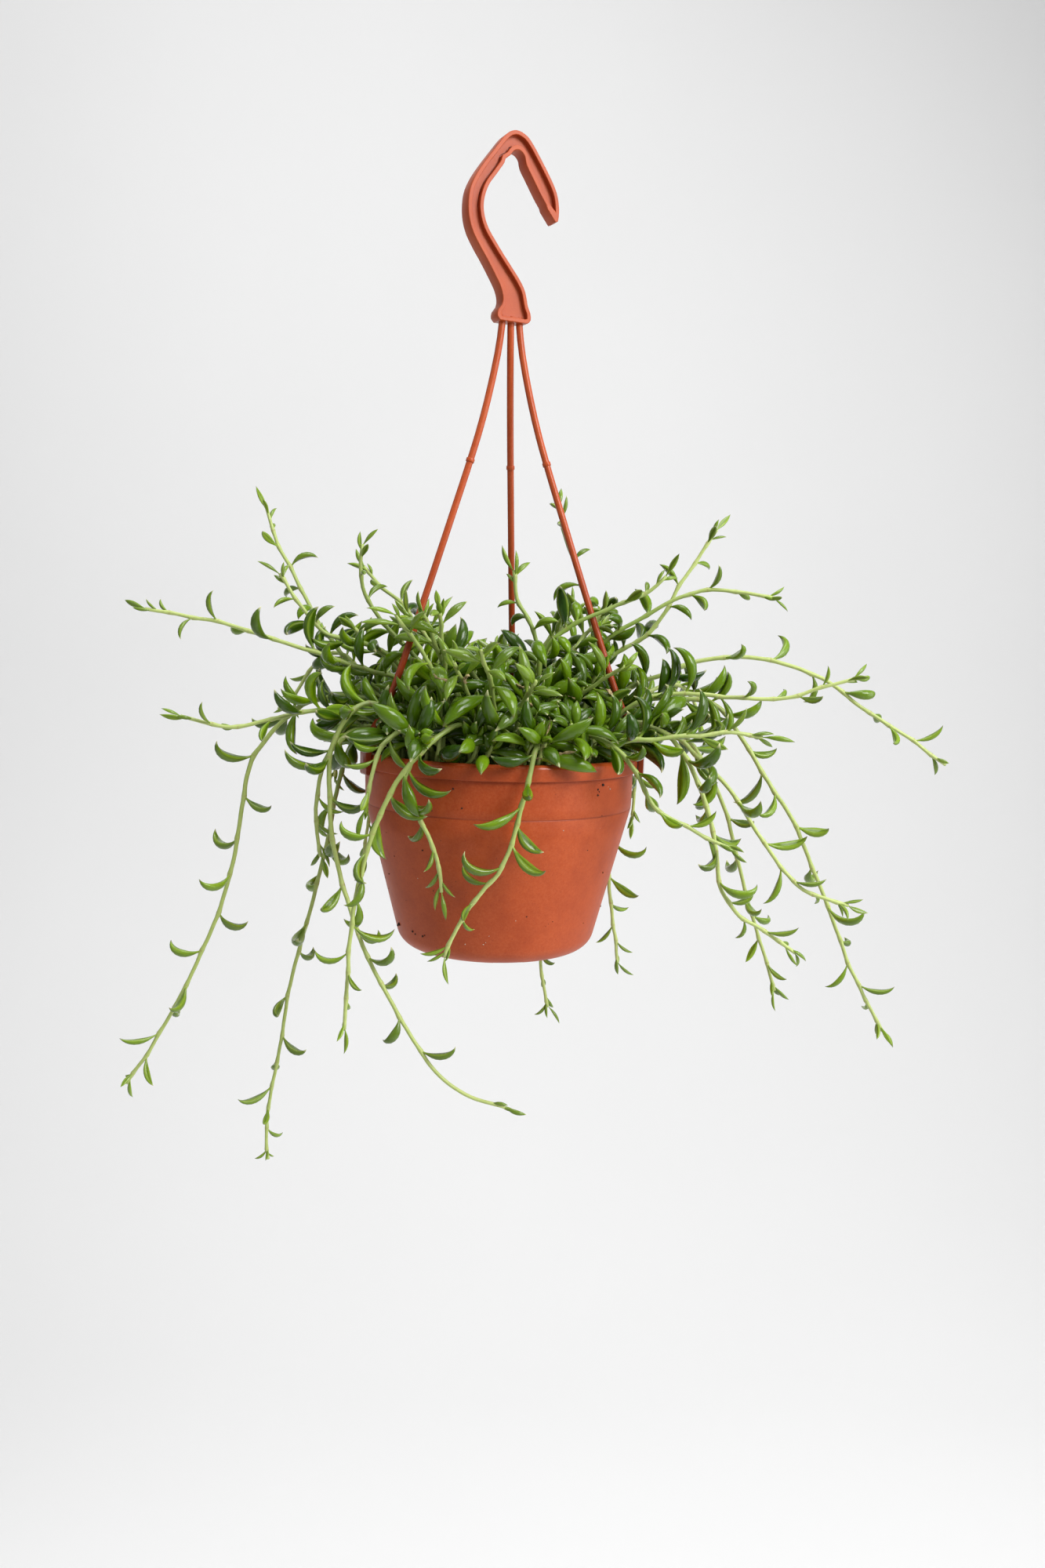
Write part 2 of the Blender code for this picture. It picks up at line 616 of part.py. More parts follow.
def pot_clearance(point, radius):
    """Clearance of a ball from the pot and the soil. Points are in millimetres below the crook."""
    height = point.z - RIM_Z
    across = math.hypot(point.x, point.y)
    if height >= 0:
        middle = 0.5 * (RIM_RADIUS + RIM_INNER)
        beside = max(0.0, abs(across - middle) - 0.5 * (RIM_RADIUS - RIM_INNER))
        return math.hypot(beside, height) - radius
    if across < RIM_INNER:
        return min(RIM_INNER - across, height + SOIL_DEPTH) - radius
    if height < -POT_HEIGHT - CELL:
        return FAR
    wall = RIM_RADIUS
    if height < -CREASE_DEPTH:
        share = min(1.0, (-height - CREASE_DEPTH) / (POT_HEIGHT - CREASE_DEPTH))
        wall = RIM_RADIUS + (BASE_RADIUS - RIM_RADIUS) * share
    return across - wall - radius


def stem_points(points, step):
    """A stem's own way: up out of the soil, then through its points."""
    (x, y), *rest = points
    start = [
        Vector((x, y, RIM_Z - SOIL_DEPTH - ROOT_DEPTH)),
        Vector((x, y, RIM_Z - SOIL_DEPTH + 1.5)),
    ]
    return smooth_path(start + [Vector((p[0], p[1], RIM_Z + p[2])) for p in rest], step)


def along(path, step):
    """Places all along the straight runs of a path."""
    places = []
    for one, other in zip(path, path[1:]):
        pieces = max(1, math.ceil((other - one).length / step))
        places += [one.lerp(other, piece / pieces) for piece in range(pieces)]
    return places + [path[-1]]


def bent_clear(name, points, space):
    """Moves a stem's points a little, so that it passes its neighbours and the rim."""
    root, *rest = points
    rest = [Vector(point) for point in rest]
    for _ in range(BEND_TRIES):
        worst, push, where = 0.0, None, None
        for place in along(stem_points([root] + rest, STEM_STEP), TEST_STEP):
            gap, centre = space.nearest(place, STEM_RADIUS, name)
            if gap - STEM_CLEARANCE < worst:
                worst, push, where = gap - STEM_CLEARANCE, place - centre, place
            lift = pot_clearance(place, STEM_RADIUS) - RIM_CLEARANCE
            above_soil = place.z > RIM_Z - SOIL_DEPTH + STEM_RADIUS + 2 * RIM_CLEARANCE
            if above_soil and lift < worst:
                worst, push, where = lift, Vector((place.x, place.y, 0.5 * RIM_RADIUS)), place
        if push is None:
            break
        local = min(rest, key=lambda p: (p + Vector((0, 0, RIM_Z)) - where).length)
        local += push.normalized() * (0.5 * STEM_CLEARANCE - worst)
    return [root] + [tuple(point) for point in rest]


def arching(azimuth, rise, reach, end):
    """Points of a stem that leaves the soil, arches over the rim and hangs to its end height."""
    root = polar(ARCH_ROOT, azimuth, 0)
    points = [(root.x, root.y)]
    points += [tuple(polar(reach * out, azimuth, rise * up)) for out, up in ARCH_SHAPE]
    out, up = ARCH_SHAPE[-1]
    drops = max(1, round((rise - end) / ARCH_DROP))
    for drop in range(1, drops + 1):
        share = drop / drops
        height = rise * up * (1 - share) + end * share
        way = reach * (out + (1 - out) * math.sqrt(share))
        points.append(tuple(polar(way, azimuth + ARCH_TURN * drop, height)))
    return points


def crown_points(index, draw, roots):
    """A short stem of the crown, which leans outward from its place on the spiral."""
    out = CROWN_SPREAD * math.sqrt((index + 0.5) / CROWN_STEMS)
    azimuth = GOLDEN_ANGLE * index + CROWN_START
    while min(math.dist(polar(out, azimuth, 0)[:2], other) for other in roots) < ROOT_SPACING:
        azimuth += 5
    root = polar(out, azimuth, 0)
    height = draw.uniform(*CROWN_HEIGHT) - CROWN_FALL * out
    lean = draw.uniform(*CROWN_LEAN) + CROWN_SPLAY * out
    heading = azimuth + draw.uniform(-CROWN_TWIST, CROWN_TWIST)
    middle = root + polar(lean * CROWN_KNEE[0], heading, height * CROWN_KNEE[1])
    tip = root + polar(lean, heading + draw.uniform(-CROWN_CURL, CROWN_CURL), height)
    return [(root.x, root.y), tuple(middle), tuple(tip)]


def leaf_place(base, start, bend, length, turn, share):
    """A point on the arc of a leaf, and the outer side of the arc there."""
    angle = turn * share
    way = math.sin(angle) * start + (1 - math.cos(angle)) * bend
    outward = math.cos(angle) * bend - math.sin(angle) * start
    return base + way * (length / turn), outward


def leaf_balls(leaf):
    """Places along a crescent, and the radius of a ball that fits each."""
    width = leaf[3] / LEAF_LENGTH * LEAF_HALF_WIDTH
    places = [leaf_place(*leaf, share)[0] for share, _ in LEAF_BALLS]
    return places, [width * girth for _, girth in LEAF_BALLS]


def leaf_mesh(leaf):
    """A crescent leaf: a ball of few sides, stretched along an arc from its root to its tip."""
    _, start, bend, length, _ = leaf
    side = bend.cross(start)
    scale = length / LEAF_LENGTH
    bm = bmesh.new()
    bmesh.ops.create_uvsphere(bm, u_segments=LEAF_SIDES, v_segments=3, radius=1.0)
    for vert in bm.verts:
        share = math.acos(max(-1.0, min(1.0, -vert.co.z))) / math.pi
        at_pole = math.hypot(vert.co.x, vert.co.y) < 0.01
        around = Vector((0, 0)) if at_pole else Vector((vert.co.x, vert.co.y)).normalized()
        girth = scale if share < 0.5 else scale * TIP_SHARE
        place, outward = leaf_place(*leaf, share)
        place = place + side * (around.x * LEAF_HALF_WIDTH * girth)
        vert.co = (place + outward * (around.y * LEAF_HALF_DEPTH * girth)) * MM
    return mesh_of(bm, "leaf")


def leaf_habit(name, at):
    """Size of a leaf against the common one, its droop and its bend, at a length along its stem."""
    if "crown" in name:
        return CROWN_LEAF_SIZE, CROWN_DROOP, CROWN_TURN
    size = 1 - OUTER_SHRINK * min(1.0, at / OUTER_LENGTH)
    return size, LONG_DROOP, INNER_TURN if at < CROWN_REACH else OUTER_TURN


def leaf_choices(draw, base, run, azimuth, youth, size, droop, turns):
    """Ways that a leaf could stand at one place on its stem, the most natural first."""
    side = run.cross(Vector((0, 0, 1)))
    if side.length < 0.15:
        side = run.cross(Vector((0, 1, 0)))
    side.normalize()
    other = side.cross(run).normalized()
    length = size * LEAF_LENGTH * draw.uniform(*LENGTH_RANGE) * (1 - youth * (1 - YOUNG_SIZE))
    turn = math.radians(draw.uniform(*turns)) * (1 - 0.5 * youth)
    spread = LEAF_SPREAD + (YOUNG_SPREAD - LEAF_SPREAD) * youth
    climb = max(0.0, run.z)
    spread *= 1 + UPRIGHT_SPREAD * climb
    upright = Vector((0, 0, 1 - max(climb, LEVEL_DROOP) * draw.uniform(*droop)))
    upright += Vector([draw.uniform(-LEAF_TILT, LEAF_TILT) for _ in range(3)])
    hand = draw.choice((-1, 1))
    for swing in SWINGS:
        angle = math.radians(azimuth + hand * swing)
        out = math.cos(angle) * side + math.sin(angle) * other
        start = (out * spread + run).normalized()
        goal = upright + out * (TIP_LIFT + youth + CLIMB_OUT * climb)
        bend = goal - start * goal.dot(start)
        if bend.length < 0.2:
            bend = out - start * out.dot(start)
        for shrink in SHRINKS:
            yield base, start, bend.normalized(), length * shrink, turn


def fits(leaf, space, name):
    for index, (place, radius) in enumerate(zip(*leaf_balls(leaf))):
        if pot_clearance(place, radius) < GAP:
            return False
        skip = name if index < 3 else None
        if space.nearest(place, radius, skip)[0] < GAP:
            return False
    return True


def leaves_of(name, path, spacing, space):
    """Leaves in alternate order up one stem, each where it has room, with small ones at the tip."""
    draw = random.Random("%d %s" % (SEED, name))
    reached = [0.0]
    for one, other in zip(path, path[1:]):
        reached.append(reached[-1] + (other - one).length)
    leaves = []
    at = ROOT_DEPTH + FIRST_LEAF
    azimuth = draw.uniform(0, 360)
    while at < reached[-1] - STEM_RADIUS:
        youth = max(0.0, 1 - (reached[-1] - at) / spacing / YOUNG_LEAVES)
        piece = max(i for i, length in enumerate(reached[:-1]) if length <= at)
        share = (at - reached[piece]) / (reached[piece + 1] - reached[piece])
        base = path[piece].lerp(path[piece + 1], share)
        run = (path[piece + 1] - path[piece]).normalized()
        for leaf in leaf_choices(draw, base, run, azimuth, youth, *leaf_habit(name, at)):
            if fits(leaf, space, name):
                leaves.append(leaf)
                space.add(*leaf_balls(leaf), name + " leaf")
                break
        azimuth += TURN_PER_LEAF
        at += spacing * draw.uniform(*SPACING_RANGE) * (YOUNG_SPACING if youth else 1.0)
    return leaves


def make_stem(name, path, leaves, home, surface):
    """One leafy stem: a thin tube with its leaves joined on."""
    stem = tube(name + "_tube", path, STEM_RADIUS, 0, home)
    stem.name = name
    blades = collection(name + "_leaves")
    for leaf in leaves:
        as_helper(add_object(name + "_leaf", leaf_mesh(leaf), blades))
    apply_boolean(stem, blades, "UNION", "MANIFOLD")
    finish(stem, surface)


def stem_plan():
    """Every stem's root and points, in the order in which they take their room."""
    plan = dict(LONG_STEMS)
    for name, azimuth, rise, reach, end in BACK_STEMS:
        plan[name] = arching(azimuth, rise, reach, end)
    draw = random.Random(SEED)
    for index in range(CROWN_STEMS):
        roots = [points[0] for points in plan.values()]
        plan["stem_crown_%d" % (index + 1)] = crown_points(index, draw, roots)
    return plan


def space_round_hanger():
    """The room that the strands and the clips already take."""
    space = Space()
    for index, azimuth in enumerate(STRAND_AZIMUTHS):
        strand = along(smooth_path(strand_path(index), STRAND_STEP), TEST_STEP)
        space.add(strand, [STRAND_RADIUS] * len(strand), "hanger")
        middle = RIM_RADIUS + GAP + 0.5 * CLIP_THICKNESS
        across = math.degrees(0.3 * CLIP_WIDTH / middle)
        clip = [
            polar(middle, azimuth + turn, RIM_Z + CLIP_RISE - drop)
            for turn in (-across, 0, across) for drop in (1, 4, 7, 10, 13)
        ]
        space.add(clip, [0.3 * CLIP_WIDTH] * len(clip), "hanger")
    return space


def main():
    clear_scene()
    home = collection("string_of_bananas")
    terracotta = material("terracotta_plastic", (0.48, 0.09, 0.035), 0.5)
    salmon = material("hanger_plastic", (0.55, 0.13, 0.06), 0.42)
    earth = material("potting_soil", (0.03, 0.018, 0.012), 0.95)
    green = material("leaf_green", (0.13, 0.27, 0.05), 0.35)

    plan = stem_plan()
    space = space_round_hanger()
    paths = {}
    for name, points in plan.items():
        paths[name] = stem_points(bent_clear(name, points, space), STEM_STEP)
        balls = along(paths[name], TEST_STEP)
        space.add(balls, [STEM_RADIUS] * len(balls), name)

    make_pot(home, terracotta)
    make_hanger(home, salmon)
    make_soil(home, earth, [points[0] for points in plan.values()])
    for name, path in paths.items():
        spacing = CROWN_LEAF_SPACING if "crown" in name else LEAF_SPACING
        make_stem(name, path, leaves_of(name, path, spacing, space), home, green)


main()
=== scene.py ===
"""Looks of the potted string of bananas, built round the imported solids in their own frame.

Lengths are in millimetres until a mesh is made. Those of the stage, the lights and the camera are in
metres. The origin is the crook of the hook, and heights named "above the rim" are measured from the
top of the pot's rim. The points, sizes and rules that place the stems and their leaves are those of
the solids, so each finer piece lies on its solid.
"""
import contextlib
import itertools
import json
import math
import random

import bmesh
import bpy
import numpy as np
from mathutils import Matrix, Vector, noise

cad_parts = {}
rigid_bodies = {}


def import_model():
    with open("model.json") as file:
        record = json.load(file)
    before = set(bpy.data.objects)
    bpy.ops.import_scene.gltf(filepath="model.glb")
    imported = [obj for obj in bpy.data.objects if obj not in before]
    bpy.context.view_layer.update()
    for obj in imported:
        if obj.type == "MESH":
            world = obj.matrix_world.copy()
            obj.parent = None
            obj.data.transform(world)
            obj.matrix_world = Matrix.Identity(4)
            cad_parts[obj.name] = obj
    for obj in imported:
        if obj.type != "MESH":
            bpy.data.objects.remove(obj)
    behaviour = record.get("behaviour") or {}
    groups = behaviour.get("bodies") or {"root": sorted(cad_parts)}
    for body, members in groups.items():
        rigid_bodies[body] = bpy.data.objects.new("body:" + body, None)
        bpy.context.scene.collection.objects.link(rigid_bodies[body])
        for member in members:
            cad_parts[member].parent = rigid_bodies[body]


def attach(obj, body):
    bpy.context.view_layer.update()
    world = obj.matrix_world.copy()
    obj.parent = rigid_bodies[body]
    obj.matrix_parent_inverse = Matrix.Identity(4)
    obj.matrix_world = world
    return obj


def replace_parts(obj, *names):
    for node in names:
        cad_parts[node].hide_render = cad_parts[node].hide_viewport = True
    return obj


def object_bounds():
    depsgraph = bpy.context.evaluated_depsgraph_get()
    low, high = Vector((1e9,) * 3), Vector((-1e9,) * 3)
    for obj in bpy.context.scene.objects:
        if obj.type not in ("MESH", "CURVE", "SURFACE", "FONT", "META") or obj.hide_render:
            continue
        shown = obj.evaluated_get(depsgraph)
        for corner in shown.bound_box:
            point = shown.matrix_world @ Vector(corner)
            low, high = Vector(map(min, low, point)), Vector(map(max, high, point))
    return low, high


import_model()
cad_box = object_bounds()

MM = 0.001
GAP = 0.3
WELD = 0.002
FRONT = -90.0                 # azimuth of the side that faces the camera
SEED = 41

# Pot
RIM_Z = -288.0
RIM_RADIUS = 70.0
RIM_BAND = 7.7
RIM_INNER = 66.0
RIM_LIP = 0.6
SHOULDER_RADIUS = 67.6
CREASE_DEPTH = 26.0
CREASE_RADIUS = 67.2
BASE_RADIUS = 48.1
POT_HEIGHT = 99.4
CORNER_RADIUS = 10.7
WALL = 1.5
FOOT_HEIGHT = 1.6
FOOT_OUTER = 42.0
FOOT_INNER = 36.0
FOOT_SLOPE = 0.4
FOOT_PADS = 6
FOOT_SLOT_ANGLE = 20.0
FOOT_TURN = -80.0
SLOT_OVERLAP = 4.0
DRAIN_RADIUS = 3.5
DRAIN_CIRCLE = 27.0
DRAINS = 6
DRAIN_SIDES = 24
DRAIN_CUT = 12.0
POT_STEPS = 144
POT_CREASE_ANGLE = 50.0       # edges sharper than this stay sharp
CORNER_STEPS = 10
INSIDE_STEPS = 6
RIM_ROUND = 2.2               # radius of the rim's outer edge
LIP_ROUND = 0.8               # radius of its inner edge
ROUND_STEPS = 5
BAND_ROUND = 0.5
BAND_STEPS = 3
SHOULDER_DROP = 0.2
UPPER_SHARES = (0.25, 0.5, 0.75)
WALL_SHARES = (0.2, 0.4, 0.6, 0.8)
CREASE_CUT = 0.3              # depth of the faint line round the wall
CREASE_HALF = 0.5
CREASE_STEP = 0.1             # the wall below it stands this much further in

# Soil
SOIL_DEPTH = 8.0
ROOT_DEPTH = 7.0
SOIL_EDGE = 0.2
SOIL_RINGS = 44
SOIL_STEPS = 150
SOIL_LUMPS = 1.3              # height of the soil's lumps
SOIL_NOISE = ((0.09, 0.7), (0.28, 0.6), (0.9, 0.35))    # scale and share
SOIL_RIM = 1.0                # the lumps start this far inside the soil's edge
SOIL_FLAT = 0.3               # share of the lumps that is left at the pot's wall
SOIL_EASE = 3.0
SOIL_CREASE_ANGLE = 60.0
CRUMBS = 240
CRUMB_SIZE = (0.5, 2.0)
GRAINS = 26                   # of pale grit
GRAIN_SIZE = (0.5, 1.1)
CRUMB_EDGE = 3.5
CRUMB_POWER = 1.3
CRUMB_LIFT = 0.3
LUMP_WIDE = (0.6, 1.2)
LUMP_TALL = (0.5, 0.9)
LUMP_UPRIGHT = 1.2
LUMP_ROUGH = (0.8, 1.15)
DARK_SPECK_COUNT = 46
PALE_SPECK_COUNT = 20
SPECK_LIFT = 0.1
SPECK_TOP = 1.0
SPECK_DEPTH = 86.0            # specks lie on the wall down to here
SPECK_SIZE = (0.15, 0.4)
DARK_SPECKS = (               # azimuth, depth below the rim, size
    (-140.6, 87.0, 0.91), (-138.5, 88.0, 0.59), (-156.9, 86.5, 0.91), (-161.8, 88.0, 0.72),
    (-132.3, 88.0, 0.65), (-130.5, 87.2, 0.52), (-42.4, 10.6, 1.04), (-45.2, 12.6, 0.65),
    (-45.1, 15.3, 0.78), (-44.4, 13.6, 0.52), (-106.9, 12.0, 0.65), (-103.2, 20.7, 0.59),
    (-153.8, 60.0, 0.59), (-27.9, 56.0, 0.59), (-10.0, 76.7, 0.59), (-122.8, 43.1, 0.65),
)
SCRAPS = (                    # middle, heading, length and width of the dry leaves in the crown
    ((-27.0, -67.6, -251.0), (0.6, -0.2, -0.75), 10.5, 1.25),
    ((-15.7, -59.2, -250.0), (-0.3, -0.3, 0.9), 5.5, 1.0),
    ((41.3, -51.8, -267.3), (0.4, -0.4, 0.8), 6.5, 1.5),
    ((23.7, -74.6, -268.4), (0.1, 0.1, -1.0), 8.0, 0.3),
    ((53.9, -31.6, -257.1), (0.3, -0.2, 0.9), 5.5, 1.1),
    ((13.0, -48.4, -261.4), (0.35, -0.1, -0.9), 9.0, 1.1),
    ((34.4, -41.0, -257.1), (0.9, -0.2, 0.3), 4.5, 1.0),
    ((8.7, -38.6, -253.5), (0.5, 0.0, -0.8), 4.5, 0.9),
    ((27.5, -67.6, -283.0), (1.0, 0.1, 0.15), 12.0, 0.22),
    ((20.0, -63.5, -285.0), (-0.9, 0.2, 0.2), 10.0, 0.25),
    ((-46.0, -38.0, -281.0), (0.8, 0.4, 0.1), 12.0, 1.0),
    ((10.0, 52.0, -283.0), (-0.7, 0.5, 0.2), 13.0, 1.1),
    ((48.0, 36.0, -284.0), (0.4, -0.8, 0.1), 11.0, 1.0),
)
SCRAP_TURN = (70.0, 150.0)
SCRAP_CRUMPLE = 0.85
SCRAP_BACK = 0.4              # share of a scrap's length that lies before its middle
SCRAP_FLAT = 0.5
PALE_SPECKS = (
    (-37.4, 13.0, 0.45), (-95.0, 88.0, 0.4), (-93.8, 87.0, 0.3), (-105.0, 88.5, 0.4),
    (-78.8, 75.5, 0.25), (-38.6, 11.8, 0.25),
)

# Hanger
HOOK_YAW = 27.0
HOOK_THICKNESS = 8.0
HOOK_FLANGE = 1.9
HOOK_RECESS = 2.6
HOOK_ROUND = 0.28
SHORT_EDGE = 0.03             # edges shorter than this would hold back the rounding
HOOK_STEP = 1.4
HOOK_CREASE_ANGLE = 40.0
FLAT_ANGLE = 0.2              # faces closer to one plane than this are merged
LINE_WIDTH = 0.65
LINE_INSET = 0.03
LINE_TAPER = 0.5
LINE_DEPTH = 0.9
LINE_POINTS = (39, 50)        # the channel passes these points of the hook's outline
FACE_ON = 0.999               # a face with more of its normal along the plate's is flat
SIDE_ON = 0.5                 # one with less is a wall
SHADE_FROM = 0.3              # walls count as shaded from this far off the plate's middle
SHADE_SLACK = 0.05
SHADE_LOW = 1.5               # and down to this far below the strands' roots
STRAND_RADIUS = 1.7
STRAND_SPACING = 4.4
STRAND_STEP = 34.0
FINE_STRAND_STEP = 7.0
TUBE_SIDES = 4
PART_ROUND = 0.3              # rounding of the nubs and clips
ROUND_ANGLE = 40.0
STRAND_TOP = -76.0
STRAND_SHAPE = (
    (0.05, 0.015), (0.13, 0.06), (0.27, 0.17), (0.48, 0.385), (0.72, 0.64), (0.88, 0.82),
)
STRAND_LANDING = 5.0
NUB_Z = -146.0
NUB_RADIUS = 2.1
NUB_LENGTH = 2.0
STRAND_AZIMUTHS = (207.0, 85.0, 352.0)
CLIP_THICKNESS = 2.6
CLIP_WIDTH = 9.0
CLIP_RISE = 3.0
CLIP_TOE = 1.6
CLIP_TOE_HEIGHT = 1.4
CLIP_CHAMFER = 0.8
HOOK_OUTER = (
    (20.9, -29.8), (22.3, -29.4), (22.8, -25.0), (22.3, -20.0), (20.8, -15.3), (17.7, -10.0),
    (12.9, -3.1), (8.1, 3.3), (4.5, 6.9), (0.0, 8.6), (-3.8, 7.9), (-7.2, 5.2), (-12.5, -1.6),
    (-17.5, -8.3), (-22.0, -15.2), (-24.8, -21.7), (-25.6, -28.1), (-25.1, -34.4), (-23.1, -40.4),
    (-19.4, -46.4), (-15.2, -52.2), (-11.3, -58.0), (-7.8, -63.7), (-6.3, -68.4), (-6.8, -71.9),
    (-8.7, -74.6), (-9.0, -77.4), (-7.4, -79.2),
)
HOOK_INNER = (
    (7.4, -79.2), (9.0, -77.4), (8.7, -74.4), (7.2, -71.0), (6.4, -67.5), (5.2, -63.8),
    (2.6, -59.6), (-1.7, -54.4), (-6.4, -48.9), (-11.0, -43.2), (-14.8, -38.0), (-16.9, -33.0),
    (-17.6, -28.0), (-16.8, -22.9), (-14.7, -17.8), (-10.8, -12.3), (-7.3, -7.2), (-6.7, -5.1),
    (-4.4, -3.4), (-2.5, -0.9), (0.0, 0.0), (2.2, -1.0), (3.6, -3.0), (4.4, -6.2),
    (8.6, -12.6), (12.6, -18.6), (15.6, -22.6), (16.2, -24.2),
)

# Stems and leaves, as in the solids
STEM_RADIUS = 1.15
STEM_STEP = 24.0
STEM_CLEARANCE = 1.0
RIM_CLEARANCE = 0.8
BEND_TRIES = 60
TEST_STEP = 2.0
CELL = 12.0
FAR = 99.0
LEAF_LENGTH = 24.0
LEAF_HALF_WIDTH = 3.5
LEAF_HALF_DEPTH = 2.9
LEAF_SPACING = 21.0
CROWN_LEAF_SPACING = 11.5
YOUNG_SPACING = 0.6
YOUNG_LEAVES = 3
YOUNG_SIZE = 0.5
FIRST_LEAF = 17.0             # height above the soil below which a stem is bare
TURN_PER_LEAF = 137.5
LEAF_SPREAD = 0.85
YOUNG_SPREAD = 0.4
UPRIGHT_SPREAD = 1.2
TIP_LIFT = 0.3
LONG_DROOP = (0.0, 2.0)       # how far a leaf may bend down instead of up
CROWN_DROOP = (0.3, 2.3)
LEVEL_DROOP = 0.5             # share of it on a stem that doesn't climb
LEAF_TILT = 0.65              # how far a leaf's own bend strays to any side
CLIMB_OUT = 0.8               # how much further out it bends on a stem that climbs
OUTER_SHRINK = 0.22           # leaves far out on a long stem are this much smaller
OUTER_LENGTH = 110.0
CROWN_LEAF_SIZE = 1.1
CROWN_TURN = (26.0, 88.0)     # degrees that a leaf bends from its root to its tip
INNER_TURN = (36.0, 96.0)
OUTER_TURN = (58.0, 112.0)
CROWN_REACH = 85.0            # length of a long stem that belongs to the crown
LENGTH_RANGE = (0.74, 1.14)
SPACING_RANGE = (0.8, 1.2)
SWINGS = (0, 32, -32, 64, -64, 100, -100, 140, -140, 180)
SHRINKS = (1.0, 0.84)
LEAF_BALLS = ((0.15, 0.45), (0.35, 0.95), (0.55, 1.0), (0.75, 0.75), (0.95, 0.25))
OWN_BALLS = 3                 # so many of them may touch the leaf's own stem
LEAST_SIDE = 0.15
LEAST_BEND = 0.2
ROOT_STEP = 1.5
BALL_SHARE = 0.3              # radius of a clip's balls against its width
CLIP_BALLS = (1, 4, 7, 10, 13)

